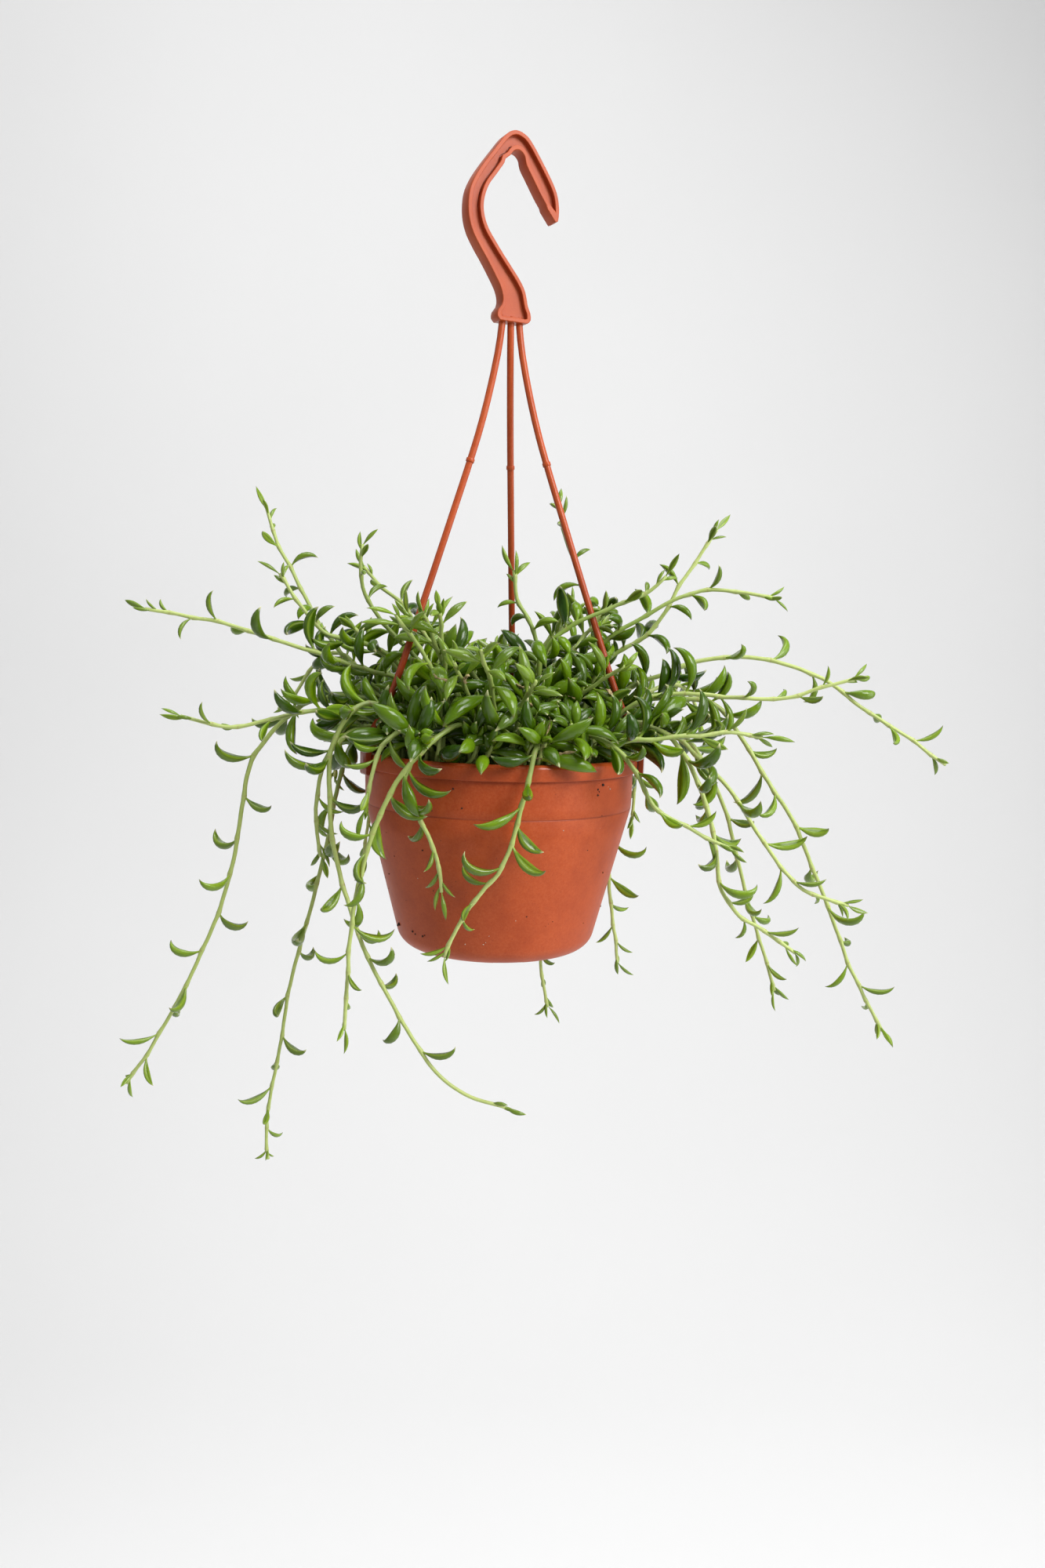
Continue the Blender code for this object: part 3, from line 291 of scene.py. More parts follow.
LONG_STEMS = {
    "stem_left_reaching": (
        (-30, 2), (-46, 0, 30), (-66, -8, 39), (-95, -14, 48), (-135, -20, 60), (-172, -24, 66)),
    "stem_left_rising": (
        (-36, 16), (-55, 14, 20), (-75, 14, 38), (-93, 16, 59), (-105, 22, 79), (-118, 26, 102),
        (-124, 28, 119)),
    "stem_left_arching": (
        (-26, -8), (-40, -5, 26), (-55, -3, 45), (-71, -2, 53), (-89, -4, 57), (-102, -8, 73),
        (-110, -10, 85)),
    "stem_left_tall": (
        (-16, 4), (-30, 2, 30), (-51, 0, 53), (-67, -6, 73), (-70, -12, 88), (-69, -14, 100)),
    "stem_left_back_tall": (
        (-20, 20), (-34, 20, 43), (-51, 22, 70), (-64, 24, 81), (-73, 26, 91)),
    "stem_left_level": (
        (-40, -14), (-56, -17, 12), (-72, -20, 17), (-90, -24, 19), (-107, -30, 16),
        (-128, -36, 11), (-151, -40, 16)),
    "stem_left_trailing": (
        (-46, -4), (-60, -6, 20), (-76, -8, 26), (-93, -8, 23), (-104, -10, 17), (-117, -12, 2),
        (-125, -14, -15), (-131, -18, -58), (-143, -22, -97), (-164, -26, -141), (-182, -28, -170)),
    "stem_left_sweeping": (
        (-38, -28), (-52, -34, 20), (-64, -40, 24), (-73, -46, 15), (-78, -50, 2), (-78, -53, -22),
        (-75, -54, -45), (-68, -56, -69), (-60, -56, -92), (-46, -58, -117), (-28, -60, -145),
        (-11, -62, -158), (8, -64, -163)),
    "stem_left_longest": (
        (-48, 10), (-60, 9, 11), (-73, 10, 5), (-81, 10, -12), (-88, 12, -47), (-96, 12, -83),
        (-106, 10, -122), (-113, 8, -166), (-119, 8, -202), (-118, 8, -223)),
    "stem_front_left_trailing": (
        (-10, -44), (-14, -58, 16), (-24, -70, 14), (-38, -78, 1), (-47, -80, -13), (-56, -79, -37),
        (-63, -76, -65), (-66, -74, -102), (-67, -74, -124)),
    "stem_front_left_short": (
        (-26, -44), (-33, -56, 7), (-38, -63, 2), (-42, -66, -10), (-35, -70, -24),
        (-29, -69, -36), (-25, -67, -49), (-24, -66, -60)),
    "stem_front_centre": (
        (20, -44), (20, -60, 12), (18, -70, 8), (15, -75, -4), (12, -75, -18), (4, -74, -46),
        (-5, -72, -58), (-14, -70, -71), (-22, -68, -90)),
    "stem_front_left_stub": (
        (-30, -36), (-40, -50, 12), (-50, -60, 10), (-56, -67, -4), (-59, -69, -22)),
    "stem_left_low": (
        (-46, -20), (-60, -30, 12), (-74, -34, 8), (-84, -36, -8), (-87, -38, -30), (-84, -38, -50)),
    "stem_right_reaching": (
        (34, 4), (56, 8, 26), (83, 9, 41), (102, 10, 48), (128, 10, 50), (160, 8, 42), (182, 4, 27),
        (202, 2, 15), (226, 0, -1)),
    "stem_right_level": (
        (40, -8), (66, -12, 26), (96, -15, 32), (113, -18, 31), (136, -20, 31), (153, -22, 36),
        (171, -24, 42)),
    "stem_right_rising": (
        (26, 16), (48, 20, 40), (76, 22, 62), (92, 26, 88), (109, 30, 115)),
    "stem_right_upper": (
        (22, 2), (44, 2, 48), (74, 3, 71), (90, 4, 80), (102, 4, 83), (116, 2, 83), (135, 0, 80)),
    "stem_right_inner": (
        (6, -6), (20, -10, 48), (34, -10, 63), (53, -8, 73), (70, -6, 80), (80, -6, 89)),
    "stem_right_front_level": (
        (34, -34), (46, -44, 10), (60, -51, 11), (90, -50, 14), (109, -48, 16), (124, -46, 14)),
    "stem_right_trailing": (
        (46, -2), (66, -4, 24), (88, -4, 29), (107, -6, 26), (118, -8, 14), (136, -12, -13),
        (148, -12, -31), (164, -12, -65), (182, -12, -107), (199, -12, -137)),
    "stem_right_spreading": (
        (42, -20), (66, -26, 16), (84, -29, 12), (97, -32, 2), (112, -37, -13), (126, -42, -34),
        (137, -42, -48), (148, -42, -59), (170, -42, -66)),
    "stem_right_front_trailing": (
        (32, -24), (56, -36, 17), (75, -42, 16), (86, -47, 7), (94, -53, -8), (100, -54, -24),
        (104, -54, -42), (106, -54, -56), (114, -54, -68), (126, -52, -76), (144, -50, -88)),
    "stem_right_back_trailing": (
        (48, 12), (70, 14, 14), (88, 16, 14), (104, 18, -2), (116, 20, -24), (123, 20, -44),
        (134, 20, -82), (140, 20, -98), (149, 18, -126)),
    "stem_right_front_short": (
        (22, -34), (38, -48, 12), (52, -56, 10), (64, -60, -3), (73, -62, -18), (88, -62, -27),
        (109, -60, -37)),
    "stem_centre_upright": (
        (14, -14), (19, -20, 40), (14, -24, 63), (7, -26, 76), (5, -27, 89)),
    "stem_right_upright": (
        (46, 28), (50, 30, 20), (49, 30, 47), (42, 26, 78), (36, 24, 94), (30, 22, 110),
        (27, 20, 124)),
    "stem_back_right_hanging": (
        (36, 30), (50, 38, 11), (60, 43, 5), (66, 46, -8), (64, 45, -42), (60, 42, -62),
        (61, 41, -80), (64, 42, -98), (67, 44, -120)),
    "stem_back_hanging": (
        (14, 44), (16, 58, 12), (18, 70, 8), (21, 77, -8), (22, 76, -52), (24, 70, -92),
        (25, 64, -127), (30, 60, -151)),
}
BACK_STEMS = (
    ("stem_back_1", 20, 34, 118, 6),
    ("stem_back_2", 40, 26, 104, -44),
    ("stem_back_3", 54, 44, 100, -72),
    ("stem_back_4", 66, 22, 94, -28),
    ("stem_back_5", 93, 30, 96, -58),
    ("stem_back_6", 106, 46, 106, -100),
    ("stem_back_7", 118, 24, 92, -34),
    ("stem_back_8", 132, 42, 104, -74),
    ("stem_back_9", 148, 30, 106, -22),
    ("stem_back_10", 162, 46, 116, 20),
)
ARCH_SHAPE = ((0.62, 0.72), (0.78, 1.0), (0.9, 0.86))
ARCH_ROOT = 42.0
ARCH_DROP = 45.0
ARCH_TURN = 2.0
CROWN_STEMS = 15
CROWN_SPREAD = 50.0
CROWN_START = 20.0
CROWN_HEIGHT = (54.0, 86.0)
CROWN_FALL = 0.35
CROWN_LEAN = (14.0, 34.0)
CROWN_SPLAY = 0.3
CROWN_TWIST = 50.0
CROWN_CURL = 25.0
CROWN_KNEE = (0.3, 0.55)
GOLDEN_ANGLE = 137.508
ROOT_SPACING = 7.5
ROOT_TURN = 5.0

# Finer stems and leaves
FINE_STEP = 3.0               # distance between the rings of a fine stem
STEM_SIDES = 8
STEM_ENDS = (1.35, 0.86)      # radius at the root and at the tip
STEM_TAPER = 0.8
STEM_CAPS = (0.2, 0.3)        # length of its end at the root, and share of the radius at the tip
STEM_YOUNG = 60.0             # length over which a stem's tip is young
NODE_SWELL = 0.28
NODE_LENGTH = 1.7
NODE_SWAY = 0.45              # zigzag of a stem at each leaf
NODE_SWAY_LENGTH = 4.0
LEAF_ROUND = 12               # vertices round a leaf
LEAF_RINGS = (
    0.02, 0.06, 0.1, 0.15, 0.22, 0.31, 0.41, 0.52, 0.63, 0.73, 0.82, 0.89, 0.94, 0.98,
)
LEAF_PROFILE = (              # share of the length, and girth there
    (0.0, 0.26), (0.05, 0.2), (0.12, 0.23), (0.19, 0.37), (0.27, 0.6), (0.37, 0.85), (0.48, 0.99),
    (0.58, 1.0), (0.68, 0.91), (0.78, 0.72), (0.86, 0.48), (0.92, 0.28), (0.96, 0.13), (1.0, 0.02),
)
PLUMPNESS = 0.6               # below 1, a short leaf is plumper than a long one
UPPER_DEPTH = 0.74            # depth of the hollow face against the back
GROOVE = 0.2
GROOVE_WIDTH = 0.3
BODY_FROM = 0.1               # share of the length where the hollow face begins
BODY_OVER = 0.2
WIDTH_VARIES = (0.86, 1.12)
DEPTH_VARIES = (0.88, 1.05)
SWAY = 1.0                    # sideways bow of a leaf
HOOKED_FROM = 0.5             # share of its length from which a leaf's tip bends further
HOOKED_CROWN = 0.35           # it bends by this many radians more in the crown
HOOKED_OUTER = 0.85           # and by this many far out on a long stem
LEAF_PARTS = 40               # parts in which a leaf's middle line is summed up
SHRINK_TO_BOX = 0.95          # step in which a leaf shrinks until it is inside the solids' box
BOX_MARGIN = 0.15
CROWN_SHADE = 0.95             # how much darker the leaves low inside the crown are painted, as painted shade
CROWN_SHADE_RADIUS = 90.0
CROWN_SHADE_HEIGHT = 48.0
OUTER_PALE = 0.5              # leaves far out on a long stem are as pale as this youth
OUTER_PALE_REACH = 45.0
STEM_SHADE_RADIUS = 62.0       # stems are painted paler outside this radius and darker inside it, as painted light and shade
STEM_TINT = 0.4               # share of a stem's tint that is chance; the rest is painted light and shade by its place
CROWN_LONGER = 0.18           # leaves in the crown are this much longer than on the solids
OUTER_LONGER = 0.26           # leaves far out on a long stem are this much longer
OUTER_NARROW = 0.17           # and this much narrower
EXTRA_START = 2.0
EXTRA_END = 1.0
EXTRA_YOUNG = 35.0            # extra leaves closer to the tip than this are young
EXTRA_GAP = 25.0              # a stretch of stem longer than this gets one more leaf
CROWN_EXTRA_GAP = 9.5
FRONT_EXTRA_GAP = 15.0
DENSE_ABOVE = 6.0             # height above the rim below which no stem is as leafy as the crown
YOUNG_NARROW = 0.35           # a young leaf is this much narrower
BUD_LEAVES = 3
BUD_LOOK = (0.8, 0.88)        # youth and width
SHORT_BUD_LOOK = (0.12, 1.0)  # on the short stems low in the crown, which get less light
BUD_LENGTH = (8.0, 13.5)
BUD_SPREAD = (0.3, 0.65)
BUD_TURN = (10.0, 40.0)
BUD_STEP = 3.0                # distance between two of them down the stem
BUD_ROUND = 150.0
BUD_SHORTER = 0.12
BUD_SUNK = 0.6
BUD_TRIES = 4
BUD_CUT = 0.7
LEAF_ROOM = 1.0               # room that a leaf keeps inside the solids' box
BUD_ROOM = 0.3
BALL_ROOM = 0.5
FILLERS = 52                  # short stems that close the crown
FILLER_SPREAD = 59.0
FILLER_START = 71.0
FILLER_TRIES = 20
FILLER_TURN = 7.0
FILLER_SPACING = 4.5
FILLER_CLEARANCE = 0.2
FILLER_LEAN = (8.0, 20.0)
FILLER_TWIST = 70.0
FILLER_CURL = 25.0
FILLER_KNEE = (0.35, 0.6)
FILLER_LEAF_SPACING = 7.0
FILLER_FIRST_LEAF = 4.0
SHORT_STEM_LEAF_SIZE = 1.28
FILLER_HEIGHT = (14.0, 44.0)
EDGE_FILLER = 46.0            # a filler that roots further out than this leans over the rim
EDGE_HEIGHT = (12.0, 20.0)
EDGE_LEAN = (16.0, 42.0)
EDGE_TWIST = 40.0
FRONT_BARE = 38.0             # degrees on each side of the front where none leans over the rim
TUFTS = 20                    # low stems just inside the rim at the front
TUFT_SPAN = 130.0
TUFT_RADIUS = (55.0, 61.0)
TUFT_HEIGHT = (7.0, 20.0)
TUFT_LEAN = (3.0, 12.0)
TUFT_STRAY = 3.0
TUFT_TWIST = 80.0
TUFT_KNEE = 0.45
TUFT_LEAF_SPACING = 4.5
TUFT_FIRST_LEAF = 7.0

# Stage, lights and camera
FLOOR_Z = -1.15
STAGE_HALF = 3.2
STAGE_BACK = 1.7
STAGE_FRONT = -2.6
STAGE_TOP = 2.4
STAGE_BEND = 0.9
STAGE_STEPS = 24
WORLD_LIGHT = 0.25
TARGET = (0, 0, -0.25)
LIGHTS = (                    # name, place, target, size, power and spread
    ("key", (1.1, -1.1, 0.75), TARGET, (1.0, 1.0), 12.9, 110.0),
    ("fill", (-1.5, -0.9, 0.3), TARGET, (1.4, 1.6), 4.4, 180.0),
    ("top", (0.0, -0.1, 1.6), TARGET, (1.4, 1.2), 25.0, 180.0),
    ("side", (1.5, -0.3, -0.1), TARGET, (1.2, 1.4), 12.2, 180.0),
    ("backdrop", (-0.7, 0.5, 1.5), (-0.7, 1.7, 0.75), (1.0, 0.6), 4.2, 180.0),
)
CAMERA_PLACE = (0.012, -0.650, -0.225)
CAMERA_PITCH = 83.0
CAMERA_ROLL = 1.6
CAMERA_LENS = 29.6
CAMERA_SENSOR = 36.0


def collection(name):
    made = bpy.data.collections.new(name)
    bpy.context.scene.collection.children.link(made)
    return made


def add_object(name, data, home=None):
    obj = bpy.data.objects.new(name, data)
    (home or bpy.context.scene.collection).objects.link(obj)
    return obj


def mesh_from(name, points, faces):
    mesh = bpy.data.meshes.new(name)
    mesh.from_pydata(points, [], faces)
    return mesh


def mesh_of(bm, name):
    mesh = bpy.data.meshes.new(name)
    bm.to_mesh(mesh)
    bm.free()
    return mesh


@contextlib.contextmanager
def editing(mesh):
    """Opens a mesh for editing and writes it back."""
    bm = bmesh.new()
    bm.from_mesh(mesh)
    yield bm
    bm.to_mesh(mesh)
    bm.free()


def smooth_by_angle(obj, angle):
    obj.data.shade_smooth()
    obj.data.set_sharp_from_angle(angle=math.radians(angle))


def evaluated_mesh(obj):
    bpy.context.view_layer.update()
    graph = bpy.context.evaluated_depsgraph_get()
    return bpy.data.meshes.new_from_object(obj.evaluated_get(graph))


def apply_modifiers(obj):
    mesh = evaluated_mesh(obj)
    obj.modifiers.clear()
    obj.data = mesh


def apply_boolean(obj, others, operation):
    """Cuts or joins every object of a collection, keeps the result and removes the helpers."""
    modifier = obj.modifiers.new("Join", "BOOLEAN")
    modifier.operand_type = "COLLECTION"
    modifier.collection = others
    modifier.operation = operation
    modifier.solver = "EXACT"
    apply_modifiers(obj)
    for helper in list(others.objects):
        bpy.data.objects.remove(helper, do_unlink=True)
    bpy.data.collections.remove(others)


def curve_to_mesh(obj, home):
    mesh = evaluated_mesh(obj)
    with editing(mesh) as bm:
        bmesh.ops.remove_doubles(bm, verts=bm.verts, dist=WELD * MM)
        bmesh.ops.recalc_face_normals(bm, faces=bm.faces)
    made = add_object(obj.name + "_mesh", mesh, home)
    made.matrix_world = obj.matrix_world
    bpy.data.objects.remove(obj, do_unlink=True)
    return made


def add_line(data, points):
    line = data.splines.new("POLY")
    line.points.add(len(points) - 1)
    for place, point in zip(line.points, points):
        place.co = (*point, 1.0)
    return line


def tube(name, points, radius, home):
    data = bpy.data.curves.new(name, "CURVE")
    data.dimensions = "3D"
    data.bevel_depth = radius * MM
    data.bevel_resolution = TUBE_SIDES
    data.use_fill_caps = True
    add_line(data, [point * MM for point in points])
    return curve_to_mesh(add_object(name, data, home), home)


def smooth_path(points, step):
    """Points on a Catmull-Rom curve through the given ones, no further apart than the step."""
    points = [Vector(point) for point in points]
    ends = [2 * points[0] - points[1]] + points + [2 * points[-1] - points[-2]]
    path = [points[0]]
    for before, start, end, after in zip(ends, ends[1:], ends[2:], ends[3:]):
        pieces = max(1, round((end - start).length / step))
        for piece in range(1, pieces + 1):
            t = piece / pieces
            path.append(0.5 * (
                2 * start
                + (end - before) * t
                + (2 * before - 5 * start + 4 * end - after) * t * t
                + (3 * start - before - 3 * end + after) * t * t * t
            ))
    return path


def polar(radius, azimuth, height):
    angle = math.radians(azimuth)
    return Vector((radius * math.cos(angle), radius * math.sin(angle), height))


def arc(centre, radius, angles):
    return [centre + radius * Vector((math.cos(angle), math.sin(angle))) for angle in angles]


def rounding(centre, radius, start, end, steps):
    """Points of an arc in the section, between two angles in degrees."""
    angles = [math.radians(start + (end - start) * step / steps) for step in range(steps + 1)]
    return arc(centre, radius, angles)


def pot_corner(radius, steps):
    """Points of the rounded lower corner, from the wall down to the base, about one shared centre."""
    crease = Vector((CREASE_RADIUS, RIM_Z - CREASE_DEPTH))
    corner = Vector((BASE_RADIUS, RIM_Z - POT_HEIGHT))
    taper = (corner - crease).normalized()
    bend = math.acos(-taper.dot(Vector((-1, 0))))
    inward = Vector((taper.y, -taper.x))
    centre = corner - taper * (CORNER_RADIUS / math.tan(bend / 2)) + inward * CORNER_RADIUS
    first = math.atan2(-inward.y, -inward.x)
    return arc(centre, radius, [
        first - (math.pi - bend) * step / steps for step in range(steps + 1)])


def pot_inside(clearance):
    floor = RIM_Z - POT_HEIGHT + FOOT_HEIGHT + WALL + clearance
    corner = pot_corner(CORNER_RADIUS - WALL - FOOT_HEIGHT - clearance, INSIDE_STEPS)
    crease = Vector((CREASE_RADIUS - WALL - clearance, RIM_Z - CREASE_DEPTH))
    return [Vector((0, floor))] + corner[::-1] + [crease]


def pot_outline():
    base = RIM_Z - POT_HEIGHT
    band = RIM_Z - RIM_BAND
    line = RIM_Z - CREASE_DEPTH
    lip = Vector((RIM_INNER + RIM_LIP + LIP_ROUND, RIM_Z - LIP_ROUND))
    edge = Vector((RIM_RADIUS - RIM_ROUND, RIM_Z - RIM_ROUND))
    under = Vector((RIM_RADIUS - BAND_ROUND, band + BAND_ROUND))
    upper = [Vector((SHOULDER_RADIUS, band - SHOULDER_DROP))]
    for share in UPPER_SHARES:
        wall = SHOULDER_RADIUS + (CREASE_RADIUS - SHOULDER_RADIUS) * share
        upper.append(Vector((wall, band - (CREASE_DEPTH - RIM_BAND) * share)))
    crease = [
        Vector((CREASE_RADIUS, line + CREASE_HALF)),
        Vector((CREASE_RADIUS - CREASE_CUT, line)),
        Vector((CREASE_RADIUS - CREASE_STEP, line - CREASE_HALF)),
    ]
    corner = pot_corner(CORNER_RADIUS, CORNER_STEPS)
    return (
        pot_inside(0.0)
        + [Vector((RIM_INNER, band))]
        + rounding(lip, LIP_ROUND, 180, 90, ROUND_STEPS)
        + rounding(edge, RIM_ROUND, 90, 0, ROUND_STEPS)
        + rounding(under, BAND_ROUND, 0, -90, BAND_STEPS)
        + upper
        + crease
        + [crease[-1].lerp(corner[0], share) for share in WALL_SHARES]
        + corner
        + [
            Vector((FOOT_INNER, base)),
            Vector((FOOT_INNER - FOOT_SLOPE, base + FOOT_HEIGHT)),
            Vector((0, base + FOOT_HEIGHT)),
        ]
    )


def turned(name, outline, steps):
    """A closed profile turned once round Z. Its first and last points are on the axis."""
    points = [(0, 0, outline[0].y * MM)]
    for point in outline[1:-1]:
        points += [tuple(polar(point.x, 360 * step / steps, point.y) * MM) for step in range(steps)]
    points.append((0, 0, outline[-1].y * MM))
    rings = len(outline) - 2
    last = 1 + (rings - 1) * steps
    faces = []
    for step in range(steps):
        after = (step + 1) % steps
        faces.append((0, 1 + after, 1 + step))
        faces.append((last + step, last + after, len(points) - 1))
        for ring in range(rings - 1):
            low = 1 + ring * steps
            faces.append((low + step, low + after, low + steps + after, low + steps + step))
    mesh = mesh_from(name, points, faces)
    with editing(mesh) as bm:
        bmesh.ops.recalc_face_normals(bm, faces=bm.faces)
    return add_object(name, mesh)


def foot_slot(azimuth, home):
    """Cuts a gap between two pads of the foot ring."""
    bm = bmesh.new()
    bmesh.ops.create_cube(bm, size=MM)
    bmesh.ops.scale(bm, verts=bm.verts, vec=(
        FOOT_OUTER - FOOT_INNER + 2 * SLOT_OVERLAP,
        2 * FOOT_OUTER * math.sin(math.radians(FOOT_SLOT_ANGLE / 2)),
        FOOT_HEIGHT,
    ))
    slot = add_object("foot_slot", mesh_of(bm, "foot_slot"), home)
    slot.location = polar(0.5 * (FOOT_OUTER + FOOT_INNER), azimuth, RIM_Z - POT_HEIGHT) * MM
    slot.rotation_euler.z = math.radians(azimuth)


def drain_hole(azimuth, home):
    bm = bmesh.new()
    bmesh.ops.create_cone(
        bm, cap_ends=True, segments=DRAIN_SIDES, radius1=DRAIN_RADIUS * MM,
        radius2=DRAIN_RADIUS * MM, depth=DRAIN_CUT * MM,
    )
    drain = add_object("drain", mesh_of(bm, "drain"), home)
    drain.location = polar(DRAIN_CIRCLE, azimuth, RIM_Z - POT_HEIGHT) * MM


def make_pot(surface):
    pot = turned("pot_fine", pot_outline(), POT_STEPS)
    cutters = collection("pot_cutters")
    for index in range(FOOT_PADS):
        foot_slot(FOOT_TURN + 360 / FOOT_PADS * index, cutters)
    for index in range(DRAINS):
        drain_hole(FOOT_TURN + 360 / DRAINS * index, cutters)
    apply_boolean(pot, cutters, "DIFFERENCE")
    smooth_by_angle(pot, POT_CREASE_ANGLE)
    pot.data.materials.append(surface)
    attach(pot, "root")
    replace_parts(pot, "pot")


def soil_height(x, y):
    """Height of the lumpy soil above its mean level."""
    place = Vector((x, y, 0.0))
    return SOIL_LUMPS * sum(share * noise.noise(place * scale) for scale, share in SOIL_NOISE)


def lump(draw, centre, size, points, faces):
    """Adds a small uneven crumb to lists of points and faces."""
    bm = bmesh.new()
    bmesh.ops.create_icosphere(bm, subdivisions=1, radius=1.0)
    shape = Vector((draw.uniform(*LUMP_WIDE), draw.uniform(*LUMP_WIDE), draw.uniform(*LUMP_TALL)))
    angle = draw.uniform(0, math.tau)
    axis = Vector((draw.uniform(-1, 1), draw.uniform(-1, 1), draw.uniform(-1, 1) + LUMP_UPRIGHT))
    turn = Matrix.Rotation(angle, 3, axis.normalized())
    first = len(points)
    for vert in bm.verts:
        place = vert.co * shape * (size * draw.uniform(*LUMP_ROUGH))
        points.append(tuple((centre + turn @ place) * MM))
    faces += [tuple(first + vert.index for vert in face.verts) for face in bm.faces]
    bm.free()


def make_lumps(name, draw, spots, surface):
    """One piece of small crumbs, from their places and sizes."""
    points, faces = [], []
    for centre, size in spots:
        lump(draw, centre, size, points, faces)
    mesh = mesh_from(name, points, faces)
    mesh.shade_smooth()
    mesh.materials.append(surface)
    piece = add_object(name, mesh)
    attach(piece, "root")


def wall_point(azimuth, depth, lift):
    """A point on the outside of the pot's wall, at a depth below the rim."""
    if depth < CREASE_DEPTH:
        share = (depth - RIM_BAND) / (CREASE_DEPTH - RIM_BAND)
        radius = SHOULDER_RADIUS + (CREASE_RADIUS - SHOULDER_RADIUS) * share
    else:
        share = (depth - CREASE_DEPTH) / (POT_HEIGHT - CREASE_DEPTH)
        radius = CREASE_RADIUS + (BASE_RADIUS - CREASE_RADIUS) * share
    return polar(radius + lift, azimuth, RIM_Z - depth)


def make_specks(surface, pale):
    """Crumbs of soil and grit that stick to the pot's wall."""
    draw = random.Random(SEED + 2)
    for name, known, count, look in (
            ("pot_specks", DARK_SPECKS, DARK_SPECK_COUNT, surface),
            ("pot_grit", PALE_SPECKS, PALE_SPECK_COUNT, pale)):
        spots = list(known)
        for _ in range(count):
            depth = draw.uniform(RIM_BAND + SPECK_TOP, SPECK_DEPTH)
            spots.append((draw.uniform(-180, 180), depth, draw.uniform(*SPECK_SIZE)))
        placed = [
            (wall_point(azimuth, depth, SPECK_LIFT * size), size) for azimuth, depth, size in spots]
        make_lumps(name, draw, placed, look)


def soil_spots(draw, count, sizes):
    """Places and sizes of the crumbs that lie on the soil."""
    for _ in range(count):
        across = (RIM_INNER - CRUMB_EDGE) * math.sqrt(draw.random())
        place = polar(across, draw.uniform(0, 360), 0)
        size = draw.uniform(*sizes) ** CRUMB_POWER
        place.z = RIM_Z - SOIL_DEPTH + soil_height(place.x, place.y) + CRUMB_LIFT * size
        yield place, size


def make_soil(surface, pale):
    top = RIM_Z - SOIL_DEPTH
    reach = RIM_INNER - SOIL_EDGE
    outline = [Vector((0, top))]
    outline += [Vector((reach * ring / SOIL_RINGS, top)) for ring in range(1, SOIL_RINGS + 1)]
    soil = turned("soil_fine", outline + pot_inside(GAP)[::-1], SOIL_STEPS)
    edge = (reach - SOIL_RIM) * MM
    for vert in soil.data.vertices:
        if abs(vert.co.z - top * MM) < WELD * MM:
            across = math.hypot(vert.co.x, vert.co.y)
            ease = min(1.0, max(0.0, (edge - across) / (SOIL_EASE * MM)))
            lumpy = SOIL_FLAT + (1 - SOIL_FLAT) * ease
            vert.co.z += soil_height(vert.co.x / MM, vert.co.y / MM) * MM * lumpy
    smooth_by_angle(soil, SOIL_CREASE_ANGLE)
    soil.data.materials.append(surface)
    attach(soil, "root")
    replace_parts(soil, "soil")
    draw = random.Random(SEED + 1)
    for name, count, sizes, look in (
            ("soil_crumbs", CRUMBS, CRUMB_SIZE, surface),
            ("soil_grit", GRAINS, GRAIN_SIZE, pale)):
        make_lumps(name, draw, soil_spots(draw, count, sizes), look)


def inset_outline(points, inset):
    moved = []
    count = len(points)
    for index, point in enumerate(points):
        before = (point - points[index - 1]).normalized()
        after = (points[(index + 1) % count] - point).normalized()
        normal = Vector((-before.y - after.y, before.x + after.x)).normalized()
        reach = normal.dot(Vector((-before.y, before.x)))
        moved.append(point + normal * (inset / reach))
    return moved


def plate(name, points, thickness, azimuth, home):
    """A flat outline that stands upright along an azimuth, extruded to a plate."""
    data = bpy.data.curves.new(name, "CURVE")
    data.dimensions = "2D"
    data.fill_mode = "BOTH"
    data.extrude = 0.5 * thickness * MM
    add_line(data, [(point.x * MM, point.y * MM, 0) for point in points]).use_cyclic_u = True
    obj = add_object(name, data, home)
    obj.rotation_euler = (math.radians(90), 0, math.radians(azimuth))
    return curve_to_mesh(obj, home)


def hook_plane(along, across, height):
    """A point from its place along the hook's plate and across it."""
    yaw = math.radians(HOOK_YAW)
    x = along * math.cos(yaw) - across * math.sin(yaw)
    y = along * math.sin(yaw) + across * math.cos(yaw)
    return Vector((x, y, height))


def strand_path(index):
    azimuth = STRAND_AZIMUTHS[index]
    start = hook_plane((index - 1) * STRAND_SPACING, 0, STRAND_TOP)
    outside = RIM_RADIUS + 2 * GAP + STRAND_RADIUS
    over = polar(outside - GAP, azimuth, RIM_Z + STRAND_LANDING)
    below = polar(outside, azimuth, RIM_Z + GAP)
    run = below - start
    path = [start]
    for down, out in STRAND_SHAPE:
        path.append(start + Vector((out * run.x, out * run.y, down * run.z)))
    return path + [over, below]


def clip_section():
    inner = RIM_RADIUS + GAP
    outer = inner + CLIP_THICKNESS
    top = RIM_Z + CLIP_RISE
    under = RIM_Z - RIM_BAND - 2 * GAP
    toe = under - CLIP_TOE_HEIGHT
    return [Vector(point) for point in (
        (inner, top), (inner, under), (inner - CLIP_TOE, under), (inner - CLIP_TOE, toe),
        (outer - CLIP_CHAMFER, toe - CLIP_CHAMFER), (outer, toe),
        (outer, top - 2 * CLIP_CHAMFER), (outer - CLIP_CHAMFER, top),
    )]


def smooth_chain(points, step=HOOK_STEP):
    top = max(point.y for point in points) - WELD
    path = smooth_path([(point.x, point.y, 0) for point in points], step)
    return [Vector((place.x, min(place.y, top))) for place in path]


def flat_merged(obj):
    """Merges very short edges and the parts of flat faces, so that edges can be rounded fully."""
    with editing(obj.data) as bm:
        bmesh.ops.remove_doubles(bm, verts=bm.verts, dist=SHORT_EDGE * MM)
        bmesh.ops.dissolve_limit(
            bm, angle_limit=math.radians(FLAT_ANGLE), verts=[], edges=bm.edges, delimit=set())


